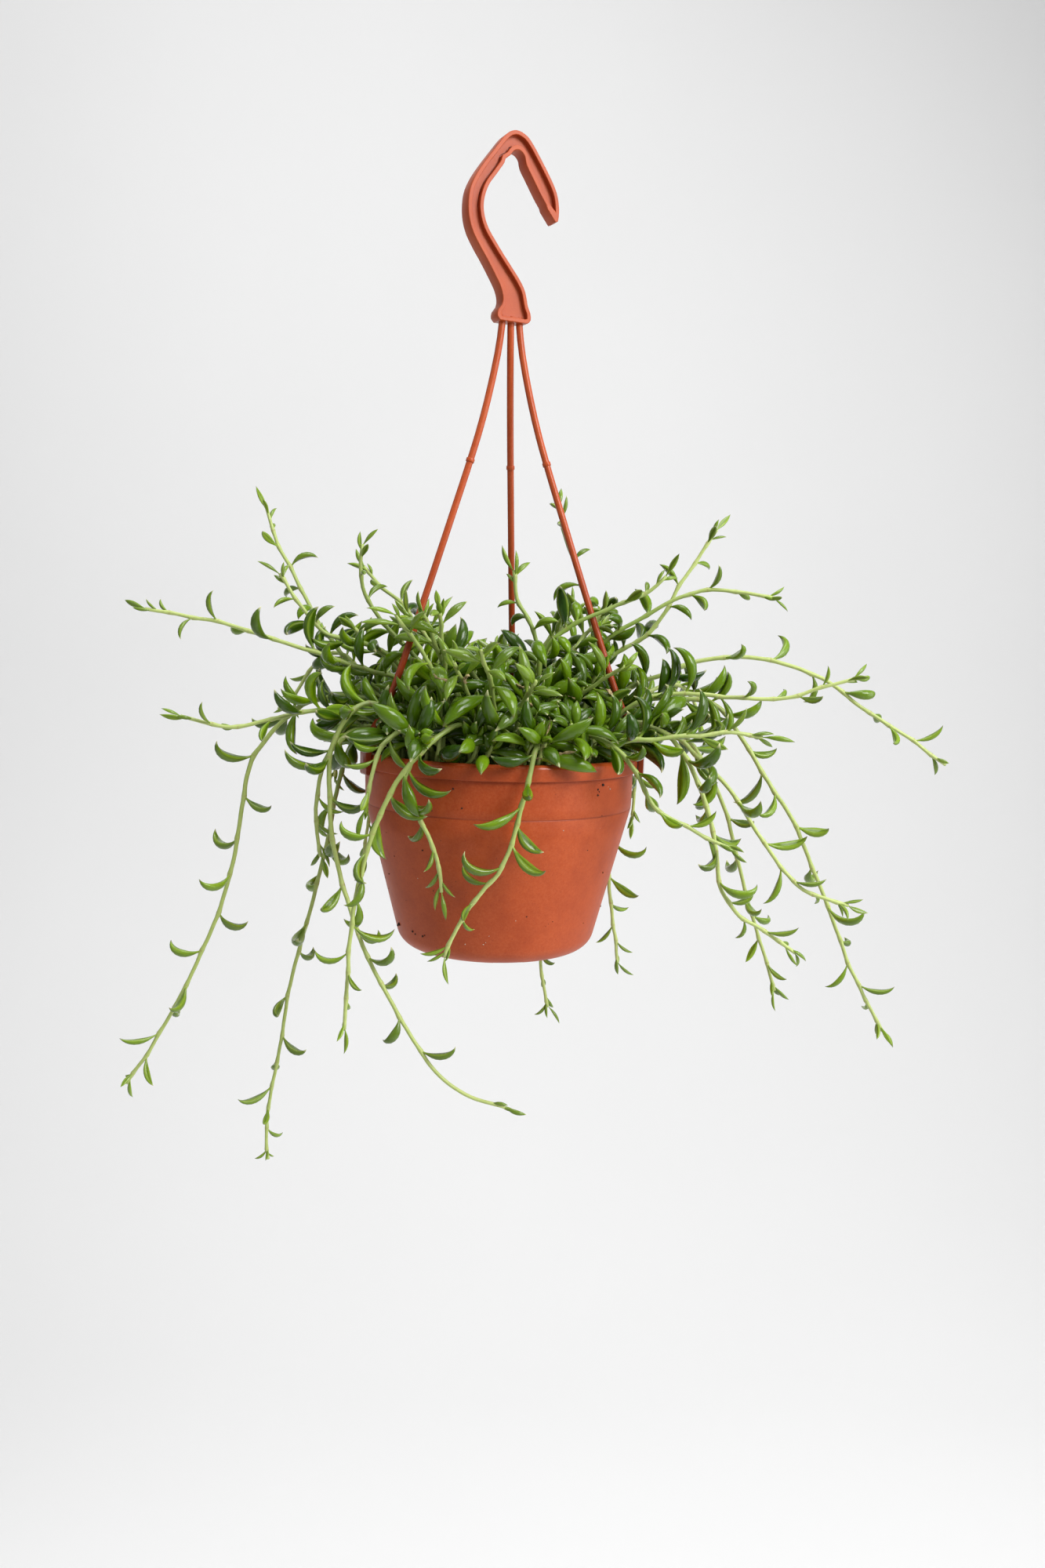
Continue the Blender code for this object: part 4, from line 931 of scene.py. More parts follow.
def rounded(obj, width):
    bevel = obj.modifiers.new("Round", "BEVEL")
    bevel.width = width * MM
    bevel.segments = 2
    bevel.limit_method = "ANGLE"
    bevel.angle_limit = math.radians(ROUND_ANGLE)
    bevel.use_clamp_overlap = True
    apply_modifiers(obj)


def shade_line(points):
    """Outline of a fine channel in the hook's panels, along the inner flange up to the crook."""
    near = inset_outline(points, HOOK_FLANGE + LINE_INSET)[slice(*LINE_POINTS)]
    far = inset_outline(points, HOOK_FLANGE + LINE_WIDTH)[slice(*LINE_POINTS)]
    last = len(near) - 1
    edge = []
    for index in range(1, last):
        width = math.sin(math.pi * index / last) ** LINE_TAPER
        edge.append(near[index].lerp(far[index], width))
    return smooth_chain(near) + smooth_chain(edge[::-1])


def cut_hook(hanger, points, depth):
    """Cuts the same outline into both faces of the hook."""
    cutters = collection("hook_cutters")
    for side in (-1, 1):
        cutter = plate("recess", points, 2 * depth, HOOK_YAW, cutters)
        cutter.location = hook_plane(0, side * 0.5 * HOOK_THICKNESS, 0) * MM
        flat_merged(cutter)
    apply_boolean(hanger, cutters, "DIFFERENCE")
    flat_merged(hanger)


def finish_hook(mesh):
    """Keeps the hook's flat faces flat, and names the walls of its panels, where the material paints
    shade.
    """
    facing = hook_plane(0, 1, 0)
    floor = 0.5 * HOOK_THICKNESS - HOOK_RECESS - SHADE_SLACK
    top = 0.5 * HOOK_THICKNESS - HOOK_ROUND + SHADE_SLACK
    with editing(mesh) as bm:
        recess = bm.faces.layers.float.new("recess")
        for edge in bm.edges:
            flat = [abs(face.normal.dot(facing)) > FACE_ON for face in edge.link_faces]
            if any(flat) and not all(flat):
                edge.smooth = False
        for face in bm.faces:
            centre = face.calc_center_median() / MM
            depth = abs(centre.dot(facing))
            wall = abs(face.normal.dot(facing)) < SIDE_ON or depth < floor
            inside = SHADE_FROM < depth < top and centre.z > STRAND_TOP - SHADE_LOW
            face[recess] = float(wall and inside)


def make_hook(home):
    outer = [Vector(point) for point in HOOK_OUTER]
    inner = [Vector(point) for point in HOOK_INNER]
    outline = smooth_chain(outer) + smooth_chain(inner)
    hook = plate("hook", outline, HOOK_THICKNESS, HOOK_YAW, home)
    flat_merged(hook)
    inset = inset_outline(outer + inner, HOOK_FLANGE)
    panel = smooth_chain(inset[2:len(outer)]) + smooth_chain(inset[len(outer):-1])
    cut_hook(hook, panel, HOOK_RECESS)
    rounded(hook, HOOK_ROUND)
    cut_hook(hook, shade_line(outer + inner), HOOK_RECESS + LINE_DEPTH)
    return hook


def make_strand(index, home):
    """One strand with its moulding nub and its clip at the rim."""
    path = smooth_path(strand_path(index), FINE_STRAND_STEP)
    tube("strand_%d" % index, path, STRAND_RADIUS, home)
    low = next(i for i in range(len(path) - 1) if path[i + 1].z <= NUB_Z)
    share = (path[low].z - NUB_Z) / (path[low].z - path[low + 1].z)
    middle = path[low].lerp(path[low + 1], share)
    half = (path[low + 1] - path[low]).normalized() * 0.5 * NUB_LENGTH
    rounded(tube("nub_%d" % index, [middle - half, middle + half], NUB_RADIUS, home), PART_ROUND)
    azimuth = STRAND_AZIMUTHS[index]
    rounded(plate("clip_%d" % index, clip_section(), CLIP_WIDTH, azimuth, home), PART_ROUND)


def make_hanger(surface):
    hanger = make_hook(collection("hanger_work"))
    hanger.name = "hanger_fine"
    strands = collection("strands")
    for index in range(len(STRAND_AZIMUTHS)):
        make_strand(index, strands)
    apply_boolean(hanger, strands, "UNION")
    hanger.data.transform(hanger.matrix_world)
    hanger.matrix_world = Matrix.Identity(4)
    smooth_by_angle(hanger, HOOK_CREASE_ANGLE)
    finish_hook(hanger.data)
    hanger.data.materials.clear()
    hanger.data.materials.append(surface)
    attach(hanger, "root")
    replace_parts(hanger, "hanger")


class Space:
    """What is already in place, as balls along every stem, strand and leaf."""

    def __init__(self):
        self.cells = {}

    def add(self, points, radii, owner):
        for point, radius in zip(points, radii):
            key = tuple(math.floor(value / CELL) for value in point)
            self.cells.setdefault(key, []).append((point, radius, owner))

    def add_stem(self, path, name, radius=STEM_RADIUS):
        balls = along(path, TEST_STEP)
        self.add(balls, [radius] * len(balls), name)

    def nearest(self, point, radius, skip=None):
        """The smallest gap round a ball and the centre that it is measured to."""
        best, found = FAR, None
        key = [math.floor(value / CELL) for value in point]
        for step in itertools.product((-1, 0, 1), repeat=3):
            cell = self.cells.get(tuple(map(sum, zip(key, step))), ())
            for centre, other, owner in cell:
                if owner == skip:
                    continue
                gap = (centre - point).length - radius - other
                if gap < best:
                    best, found = gap, centre
        return best, found


def pot_clearance(point, radius):
    height = point.z - RIM_Z
    across = math.hypot(point.x, point.y)
    if height >= 0:
        middle = 0.5 * (RIM_RADIUS + RIM_INNER)
        beside = max(0.0, abs(across - middle) - 0.5 * (RIM_RADIUS - RIM_INNER))
        return math.hypot(beside, height) - radius
    if across < RIM_INNER:
        return min(RIM_INNER - across, height + SOIL_DEPTH) - radius
    if height < -POT_HEIGHT - CELL:
        return FAR
    wall = RIM_RADIUS
    if height < -CREASE_DEPTH:
        share = min(1.0, (-height - CREASE_DEPTH) / (POT_HEIGHT - CREASE_DEPTH))
        wall = RIM_RADIUS + (BASE_RADIUS - RIM_RADIUS) * share
    return across - wall - radius


def stem_points(points, step=STEM_STEP):
    (x, y), *rest = points
    start = [
        Vector((x, y, RIM_Z - SOIL_DEPTH - ROOT_DEPTH)),
        Vector((x, y, RIM_Z - SOIL_DEPTH + ROOT_STEP)),
    ]
    return smooth_path(start + [Vector((p[0], p[1], RIM_Z + p[2])) for p in rest], step)


def along(path, step):
    places = []
    for one, other in zip(path, path[1:]):
        pieces = max(1, math.ceil((other - one).length / step))
        places += [one.lerp(other, piece / pieces) for piece in range(pieces)]
    return places + [path[-1]]


def bent_clear(name, points, space, clearance=STEM_CLEARANCE):
    """Moves a stem's points a little, so that it passes its neighbours and the rim."""
    root, *rest = points
    rest = [Vector(point) for point in rest]
    bare = RIM_Z - SOIL_DEPTH + STEM_RADIUS + 2 * RIM_CLEARANCE
    for _ in range(BEND_TRIES):
        worst, push, where = 0.0, None, None
        for place in along(stem_points([root] + rest), TEST_STEP):
            gap, centre = space.nearest(place, STEM_RADIUS, name)
            if gap - clearance < worst:
                worst, push, where = gap - clearance, place - centre, place
            lift = pot_clearance(place, STEM_RADIUS) - RIM_CLEARANCE
            if place.z > bare and lift < worst:
                worst, push, where = lift, Vector((place.x, place.y, 0.5 * RIM_RADIUS)), place
        if push is None:
            break
        local = min(rest, key=lambda p: (p + Vector((0, 0, RIM_Z)) - where).length)
        local += push.normalized() * (0.5 * STEM_CLEARANCE - worst)
    return [root] + [tuple(point) for point in rest]


def arching(azimuth, rise, reach, end):
    root = polar(ARCH_ROOT, azimuth, 0)
    points = [(root.x, root.y)]
    points += [tuple(polar(reach * out, azimuth, rise * up)) for out, up in ARCH_SHAPE]
    out, up = ARCH_SHAPE[-1]
    drops = max(1, round((rise - end) / ARCH_DROP))
    for drop in range(1, drops + 1):
        share = drop / drops
        height = rise * up * (1 - share) + end * share
        way = reach * (out + (1 - out) * math.sqrt(share))
        points.append(tuple(polar(way, azimuth + ARCH_TURN * drop, height)))
    return points


def short_way(root, draw, lean, heading, height, knee, curl):
    """The points of a short stem that leans one way."""
    middle = root + polar(lean * knee[0], heading, height * knee[1])
    tip = root + polar(lean, heading + draw.uniform(-curl, curl), height)
    return [(root.x, root.y), tuple(middle), tuple(tip)]


def nearest_root(root, roots):
    return min(math.dist(root[:2], other) for other in roots)


def crown_points(index, draw, roots):
    out = CROWN_SPREAD * math.sqrt((index + 0.5) / CROWN_STEMS)
    azimuth = GOLDEN_ANGLE * index + CROWN_START
    while nearest_root(polar(out, azimuth, 0), roots) < ROOT_SPACING:
        azimuth += ROOT_TURN
    height = draw.uniform(*CROWN_HEIGHT) - CROWN_FALL * out
    lean = draw.uniform(*CROWN_LEAN) + CROWN_SPLAY * out
    heading = azimuth + draw.uniform(-CROWN_TWIST, CROWN_TWIST)
    root = polar(out, azimuth, 0)
    return short_way(root, draw, lean, heading, height, CROWN_KNEE, CROWN_CURL)


def filler_points(index, draw, roots):
    """A short stem between the others, which leans outward and stays low."""
    out = FILLER_SPREAD * math.sqrt((index + 0.5) / FILLERS)
    azimuth = GOLDEN_ANGLE * index + FILLER_START
    for _ in range(FILLER_TRIES):
        if nearest_root(polar(out, azimuth, 0), roots) >= FILLER_SPACING:
            break
        azimuth += FILLER_TURN
    height = draw.uniform(*FILLER_HEIGHT)
    lean = draw.uniform(*FILLER_LEAN)
    heading = azimuth + draw.uniform(-FILLER_TWIST, FILLER_TWIST)
    off_front = abs((azimuth - FRONT + 180) % 360 - 180)
    if out > EDGE_FILLER and off_front > FRONT_BARE:
        height = draw.uniform(*EDGE_HEIGHT)
        lean = draw.uniform(*EDGE_LEAN)
        heading = azimuth + draw.uniform(-EDGE_TWIST, EDGE_TWIST)
    root = polar(out, azimuth, 0)
    return short_way(root, draw, lean, heading, height, FILLER_KNEE, FILLER_CURL)


def tuft_points(index, draw, _):
    """A low stem just inside the rim, which hides the bare feet of those behind it."""
    azimuth = TUFT_SPAN * ((index + 0.5) / TUFTS - 0.5) + FRONT
    azimuth += draw.uniform(-TUFT_STRAY, TUFT_STRAY)
    root = polar(draw.uniform(*TUFT_RADIUS), azimuth, 0)
    reach = draw.uniform(*TUFT_LEAN)
    heading = azimuth + draw.uniform(-TUFT_TWIST, TUFT_TWIST)
    lean = polar(reach, heading, draw.uniform(*TUFT_HEIGHT))
    return [(root.x, root.y), tuple(root + TUFT_KNEE * lean), tuple(root + lean)]


def leaf_place(base, start, bend, length, turn, share):
    """A point on the arc of a leaf."""
    angle = turn * share
    way = math.sin(angle) * start + (1 - math.cos(angle)) * bend
    return base + way * (length / turn)


def leaf_balls(leaf):
    width = leaf[3] / LEAF_LENGTH * LEAF_HALF_WIDTH
    places = [leaf_place(*leaf, share) for share, _ in LEAF_BALLS]
    return places, [width * girth for _, girth in LEAF_BALLS]


def leaf_choices(draw, base, run, azimuth, youth, size, droop, turns):
    """Ways that a leaf could stand at one place on its stem, the most natural first."""
    side = run.cross(Vector((0, 0, 1)))
    if side.length < LEAST_SIDE:
        side = run.cross(Vector((0, 1, 0)))
    side.normalize()
    other = side.cross(run).normalized()
    length = size * LEAF_LENGTH * draw.uniform(*LENGTH_RANGE) * (1 - youth * (1 - YOUNG_SIZE))
    turn = math.radians(draw.uniform(*turns)) * (1 - 0.5 * youth)
    spread = LEAF_SPREAD + (YOUNG_SPREAD - LEAF_SPREAD) * youth
    climb = max(0.0, run.z)
    spread *= 1 + UPRIGHT_SPREAD * climb
    upright = Vector((0, 0, 1 - max(climb, LEVEL_DROOP) * draw.uniform(*droop)))
    upright += Vector([draw.uniform(-LEAF_TILT, LEAF_TILT) for _ in range(3)])
    hand = draw.choice((-1, 1))
    for swing in SWINGS:
        angle = math.radians(azimuth + hand * swing)
        out = math.cos(angle) * side + math.sin(angle) * other
        start = (out * spread + run).normalized()
        goal = upright + out * (TIP_LIFT + youth + CLIMB_OUT * climb)
        bend = goal - start * goal.dot(start)
        if bend.length < LEAST_BEND:
            bend = out - start * out.dot(start)
        for shrink in SHRINKS:
            yield base, start, bend.normalized(), length * shrink, turn


def fits(leaf, space, name):
    for index, (place, radius) in enumerate(zip(*leaf_balls(leaf))):
        skip = name if index < OWN_BALLS else None
        if pot_clearance(place, radius) < GAP or space.nearest(place, radius, skip)[0] < GAP:
            return False
    return True


def in_box(leaf, room=LEAF_ROOM):
    """Whether a leaf stays inside the solids' own box."""
    for place, radius in zip(*leaf_balls(leaf)):
        reach = radius * BALL_ROOM + room
        for value, low, high in zip(place, *cad_box):
            if not low / MM <= value - reach <= value + reach <= high / MM:
                return False
    return True


def lengths_along(path):
    steps = [(other - one).length for one, other in zip(path, path[1:])]
    return list(itertools.accumulate(steps, initial=0.0))


def place_along(path, reached, at):
    """A point on a path at a length along it, and the path's direction there."""
    piece = max(i for i, length in enumerate(reached[:-1]) if length <= at)
    share = (at - reached[piece]) / (reached[piece + 1] - reached[piece])
    return path[piece].lerp(path[piece + 1], share), (path[piece + 1] - path[piece]).normalized()


def leaf_habit(name, at):
    """Size of a leaf against the common one, its droop and its bend, at a length along its stem."""
    if "crown" in name:
        return CROWN_LEAF_SIZE, CROWN_DROOP, CROWN_TURN
    if "short_stem" in name:
        return SHORT_STEM_LEAF_SIZE, CROWN_DROOP, CROWN_TURN
    size = 1 - OUTER_SHRINK * min(1.0, at / OUTER_LENGTH)
    return size, LONG_DROOP, INNER_TURN if at < CROWN_REACH else OUTER_TURN


def add_leaf(name, draw, path, reached, at, azimuth, youth, space, leaves, boxed=False):
    """Adds a leaf in the first of its natural ways that is free."""
    base, run = place_along(path, reached, at)
    for leaf in leaf_choices(draw, base, run, azimuth, youth, *leaf_habit(name, at)):
        if fits(leaf, space, name) and (in_box(leaf) or not boxed):
            leaves.append((at, leaf, youth))
            space.add(*leaf_balls(leaf), name + " leaf")
            return


def leaves_of(name, path, spacing, space, first=FIRST_LEAF):
    """The leaves of one stem with their place along it and their youth, as in the solids."""
    draw = random.Random("%d %s" % (SEED, name))
    reached = lengths_along(path)
    leaves = []
    at = ROOT_DEPTH + first
    azimuth = draw.uniform(0, 360)
    while at < reached[-1] - STEM_RADIUS:
        youth = max(0.0, 1 - (reached[-1] - at) / spacing / YOUNG_LEAVES)
        add_leaf(name, draw, path, reached, at, azimuth, youth, space, leaves)
        azimuth += TURN_PER_LEAF
        at += spacing * draw.uniform(*SPACING_RANGE) * (YOUNG_SPACING if youth else 1.0)
    return leaves


def more_leaves(name, path, leaves, space):
    """Further leaves where the solids leave a long stretch of a stem bare."""
    draw = random.Random("%d more %s" % (SEED, name))
    reached = lengths_along(path)
    marks = [SOIL_DEPTH + ROOT_DEPTH + EXTRA_START]
    marks += [at for at, _, _ in leaves] + [reached[-1] - EXTRA_END]
    azimuth = draw.uniform(0, 360)
    added = []
    for one, other in zip(marks, marks[1:]):
        inside = one < CROWN_REACH and place_along(path, reached, one)[0].z > RIM_Z + DENSE_ABOVE
        gap = FRONT_EXTRA_GAP if "front" in name else EXTRA_GAP
        if "crown" in name or inside:
            gap = CROWN_EXTRA_GAP
        count = int((other - one) / gap)
        for index in range(count):
            at = one + (other - one) * (index + 1) / (count + 1)
            youth = max(0.0, 1 - (reached[-1] - at) / EXTRA_YOUNG)
            azimuth += TURN_PER_LEAF
            add_leaf(name, draw, path, reached, at, azimuth, youth, space, added, boxed=True)
    return added


def buds_of(name, path):
    """The tiny folded leaves at the growing tip."""
    draw = random.Random("%d bud %s" % (SEED, name))
    run = (path[-1] - path[-2]).normalized()
    azimuth = draw.uniform(0, 360)
    side = run.orthogonal().normalized()
    other = run.cross(side)
    buds = []
    for index in range(BUD_LEAVES):
        angle = math.radians(azimuth + index * BUD_ROUND)
        out = math.cos(angle) * side + math.sin(angle) * other
        start = (run + out * draw.uniform(*BUD_SPREAD)).normalized()
        bend = (out - start * out.dot(start)) * draw.choice((-1, 1))
        length = draw.uniform(*BUD_LENGTH) * (1 - BUD_SHORTER * index)
        turn = math.radians(draw.uniform(*BUD_TURN))
        base = path[-1] - run * (BUD_SUNK + BUD_STEP * index)
        for _ in range(BUD_TRIES):
            leaf = (base, start, bend.normalized(), length, turn)
            if in_box(leaf, BUD_ROOM):
                buds.append(leaf)
                break
            length *= BUD_CUT
    return buds


def stem_plan():
    plan = dict(LONG_STEMS)
    for name, *habit in BACK_STEMS:
        plan[name] = arching(*habit)
    draw = random.Random(SEED)
    for index in range(CROWN_STEMS):
        roots = [points[0] for points in plan.values()]
        plan["stem_crown_%d" % (index + 1)] = crown_points(index, draw, roots)
    return plan


def space_round_hanger():
    space = Space()
    middle = RIM_RADIUS + GAP + 0.5 * CLIP_THICKNESS
    across = math.degrees(BALL_SHARE * CLIP_WIDTH / middle)
    for index, azimuth in enumerate(STRAND_AZIMUTHS):
        space.add_stem(smooth_path(strand_path(index), STRAND_STEP), "hanger", STRAND_RADIUS)
        clip = [
            polar(middle, azimuth + turn, RIM_Z + CLIP_RISE - drop)
            for turn in (-across, 0, across) for drop in CLIP_BALLS
        ]
        space.add(clip, [BALL_SHARE * CLIP_WIDTH] * len(clip), "hanger")
    return space


def points_in_box(rings, tip):
    low, high = (np.array(corner) / MM for corner in cad_box)
    flat = np.vstack([rings.reshape(-1, 3), tip[None]])
    return (flat > low + BOX_MARGIN).all() and (flat < high - BOX_MARGIN).all()


def leaf_way(leaf, hooked):
    """Points on a leaf's middle line at each ring and at its tip, and the hollow face's directions."""
    base, start, bend, length, turn = leaf
    base, start, bend = np.array(base), np.array(start), np.array(bend)
    share = np.linspace(0, 1, LEAF_PARTS + 1)
    late = np.clip((share - HOOKED_FROM) / (1 - HOOKED_FROM), 0, 1)
    angle = (turn * share + hooked * late * late)[:, None]
    run = np.cos(angle) * start + np.sin(angle) * bend
    steps = np.cumsum(0.5 * (run[1:] + run[:-1]), axis=0) * (length / LEAF_PARTS)
    middle = base + np.vstack([np.zeros(3), steps])
    outward = np.cos(angle) * bend - np.sin(angle) * start
    places, facing = (
        np.stack([np.interp(LEAF_RINGS, share, line[:, axis]) for axis in range(3)], axis=1)
        for line in (middle, outward)
    )
    return places, facing, middle[-1]


def leaf_skin_points(leaf, hooked, bow, width, depth):
    """Rings of points round a leaf, and its tip. The hollow face has a shallow groove."""
    _, start, bend, length, _ = leaf
    side = np.array(bend.cross(start))
    share = np.array(LEAF_RINGS)
    centre, outward, tip = leaf_way(leaf, hooked)
    scale = length / LEAF_LENGTH
    centre = centre + side * (bow * scale * np.sin(math.pi * share))[:, None]
    knots = np.array(LEAF_PROFILE)
    girth = np.interp(share, knots[:, 0], knots[:, 1]) * scale ** PLUMPNESS
    wide = girth * LEAF_HALF_WIDTH * width
    deep = girth * LEAF_HALF_DEPTH * depth
    turns = np.arange(LEAF_ROUND) * (math.tau / LEAF_ROUND)
    up, across = np.cos(turns), np.sin(turns)
    body = np.clip((share - BODY_FROM) / BODY_OVER, 0, 1)[:, None]
    groove = GROOVE * body * np.exp(-(across / GROOVE_WIDTH) ** 2) * (up > 0)
    height = up * np.where(up > 0, 1 - (1 - UPPER_DEPTH) * body, 1.0) - groove
    rings = (
        centre[:, None]
        + side * (across * wide[:, None])[..., None]
        + outward[:, None] * (height * deep[:, None])[..., None]
    )
    return rings, tip


class Build:
    """Vertices, faces and surface values of one stem with its leaves."""

    def __init__(self):
        self.points, self.faces, self.slots = [], [], []
        self.values = {"along": [], "upper": [], "tint_and_shade": [], "youth": []}
        self.count = 0

    def add(self, rings, first, last, slot, **values):
        """A closed skin through rings of points, from a first point to a last one."""
        count, sides = rings.shape[:2]
        start = self.count
        self.points.append(np.vstack([first[None], rings.reshape(-1, 3), last[None]]))
        self.count += count * sides + 2
        for key, value in values.items():
            self.values[key].append(value)
        last_ring = start + 1 + (count - 1) * sides
        for side in range(sides):
            after = (side + 1) % sides
            self.faces.append((start, start + 1 + after, start + 1 + side))
            self.faces.append((last_ring + side, last_ring + after, self.count - 1))
            for ring in range(count - 1):
                low = start + 1 + ring * sides
                high = low + sides
                self.faces.append((low + side, low + after, high + after, high + side))
        self.slots += [slot] * (sides * (count + 1))

    def leaf(self, leaf, draw, youth, width=1.0, flat=1.0):
        base, start, bend, length, turn = leaf
        outer = max(math.hypot(base[0], base[1]) - CROWN_SHADE_RADIUS, RIM_Z - base[2])
        outer = min(1.0, max(0.0, outer) / OUTER_PALE_REACH)
        length *= 1 + CROWN_LONGER + (OUTER_LONGER - CROWN_LONGER) * outer
        width *= (1 - YOUNG_NARROW * youth) * (1 - OUTER_NARROW * outer)
        shape = (
            (HOOKED_CROWN + (HOOKED_OUTER - HOOKED_CROWN) * outer) * (1 - youth),
            draw.uniform(-SWAY, SWAY),
            width * draw.uniform(*WIDTH_VARIES),
            width * flat * draw.uniform(*DEPTH_VARIES),
        )
        rings, tip = leaf_skin_points((base, start, bend, length, turn), *shape)
        while not points_in_box(rings, tip):
            length *= SHRINK_TO_BOX
            rings, tip = leaf_skin_points((base, start, bend, length, turn), *shape)
        # Painted shade: leaves low inside the crown get a darker tint.
        inner = max(0.0, 1 - math.hypot(tip[0], tip[1]) / CROWN_SHADE_RADIUS)
        low = max(0.0, 1 - max(0.0, tip[2] - RIM_Z) / CROWN_SHADE_HEIGHT)
        tint_and_shade = draw.random() * (1 - CROWN_SHADE * min(1.0, 2 * inner) * low)
        up = np.cos(np.arange(LEAF_ROUND) * (math.tau / LEAF_ROUND))
        count = len(LEAF_RINGS) * LEAF_ROUND + 2
        self.add(
            rings, np.array(base), tip, 0,
            along=np.concatenate([[0], np.repeat(LEAF_RINGS, LEAF_ROUND), [1]]),
            upper=np.concatenate([[0], np.tile(up, len(LEAF_RINGS)), [0]]),
            tint_and_shade=np.full(count, tint_and_shade),
            youth=np.full(count, max(youth, OUTER_PALE * outer)),
        )

    def stem(self, path, nodes, draw):
        """A stem that swells and turns a little at each leaf."""
        points = np.array([tuple(point) for point in path])
        steps = np.linalg.norm(np.diff(points, axis=0), axis=1)
        reached = np.concatenate([[0], np.cumsum(steps)])
        share = reached / reached[-1]
        mark = np.zeros(len(points))
        for at, out in nodes:
            mark = np.maximum(mark, np.exp(-((reached - at) / NODE_LENGTH) ** 2))
            sway = np.exp(-((reached - at) / NODE_SWAY_LENGTH) ** 2)
            points = points + np.array(out) * (NODE_SWAY * sway)[:, None]
        thick, thin = STEM_ENDS
        radius = thick + (thin - thick) * share ** STEM_TAPER + NODE_SWELL * mark
        run = np.gradient(points, axis=0)
        run /= np.linalg.norm(run, axis=1)[:, None]
        side = np.array(Vector(run[0]).orthogonal().normalized())
        turns = np.arange(STEM_SIDES) * (math.tau / STEM_SIDES)
        rings = []
        for point, way, size in zip(points, run, radius):
            side = side - way * side.dot(way)
            side = side / np.linalg.norm(side)
            ring = np.cos(turns)[:, None] * side + np.sin(turns)[:, None] * np.cross(way, side)
            rings.append(point + ring * size)
        # Painted light and shade: stems are darker inside the crown, paler further out and below the
        # rim.
        across = np.hypot(points[:, 0], points[:, 1]) - STEM_SHADE_RADIUS
        outer = np.maximum(across, RIM_Z - points[:, 2])
        pale = np.clip(outer / OUTER_PALE_REACH, 0, 1)
        tint_and_shade = STEM_TINT * draw.random() + (1 - STEM_TINT) * pale
        youth = np.clip(1 - (reached[-1] - reached) / STEM_YOUNG, 0, 1)
        foot, cap = STEM_CAPS
        self.add(
            np.array(rings), points[0] - run[0] * foot, points[-1] + run[-1] * radius[-1] * cap, 1,
            along=np.concatenate([[0], np.repeat(share, STEM_SIDES), [1]]),
            upper=np.concatenate([[0], np.repeat(mark, STEM_SIDES), [0]]),
            tint_and_shade=np.concatenate([tint_and_shade[:1], np.repeat(tint_and_shade, STEM_SIDES), tint_and_shade[-1:]]),
            youth=np.concatenate([[0], np.repeat(youth, STEM_SIDES), [1]]),
        )

    def finish(self, name, surfaces):
        mesh = mesh_from(name, (np.vstack(self.points) * MM).tolist(), self.faces)
        for surface in surfaces:
            mesh.materials.append(surface)
        mesh.polygons.foreach_set("material_index", self.slots)
        for key, parts in self.values.items():
            made = mesh.attributes.new(key, "FLOAT", "POINT")
            made.data.foreach_set("value", np.concatenate(parts).astype(np.float32))
        mesh.shade_smooth()
        mesh.update()
        piece = add_object(name, mesh)
        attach(piece, "root")
        return piece


def make_stem(name, points, leaves, surfaces, bud_look=BUD_LOOK):
    """One fine leafy stem over the same way as its solid."""
    draw = random.Random("%d shape %s" % (SEED, name))
    fine = stem_points(points, FINE_STEP)
    build = Build()
    reached = lengths_along(fine)
    nodes = []
    for _, leaf, youth in leaves:
        base, start, *_ = leaf
        here = min(range(len(fine)), key=lambda i: (fine[i] - base).length_squared)
        run = (fine[min(here + 1, len(fine) - 1)] - fine[max(here - 1, 0)]).normalized()
        out = (start - run * start.dot(run)).normalized()
        nodes.append((reached[here], out))
        build.leaf((fine[here] + out * NODE_SWAY, *leaf[1:]), draw, min(youth, bud_look[0]))
    build.stem(fine, nodes, draw)
    for bud in buds_of(name, stem_points(points)):
        build.leaf(bud, draw, *bud_look)
    return build.finish(name + "_fine", surfaces)


def make_scraps(surface):
    """Dry curled leaves and stalks caught among the green ones."""
    draw = random.Random(SEED + 7)
    build = Build()
    for middle, heading, length, width in SCRAPS:
        start = Vector(heading).normalized()
        side = Matrix.Rotation(draw.uniform(0, math.tau), 3, start) @ start.orthogonal()
        turn = math.radians(draw.uniform(*SCRAP_TURN)) * min(1.0, width)
        base = Vector(middle) - start * SCRAP_BACK * length
        leaf = (base, start, side.normalized(), length, turn)
        build.leaf(leaf, draw, 0.0, width, SCRAP_FLAT)
    noise.seed_set(SEED)
    for points in build.points:
        for index, point in enumerate(points):
            points[index] = point + SCRAP_CRUMPLE * np.array(noise.noise_vector(Vector(point)))
    build.finish("dry_scraps", (surface,))


def srgb(red, green, blue):
    """Screen values out of 255 as the linear colour that a shader takes."""
    def linear(value):
        value /= 255
        return value / 12.92 if value <= 0.04045 else ((value + 0.055) / 1.055) ** 2.4
    return linear(red), linear(green), linear(blue), 1.0


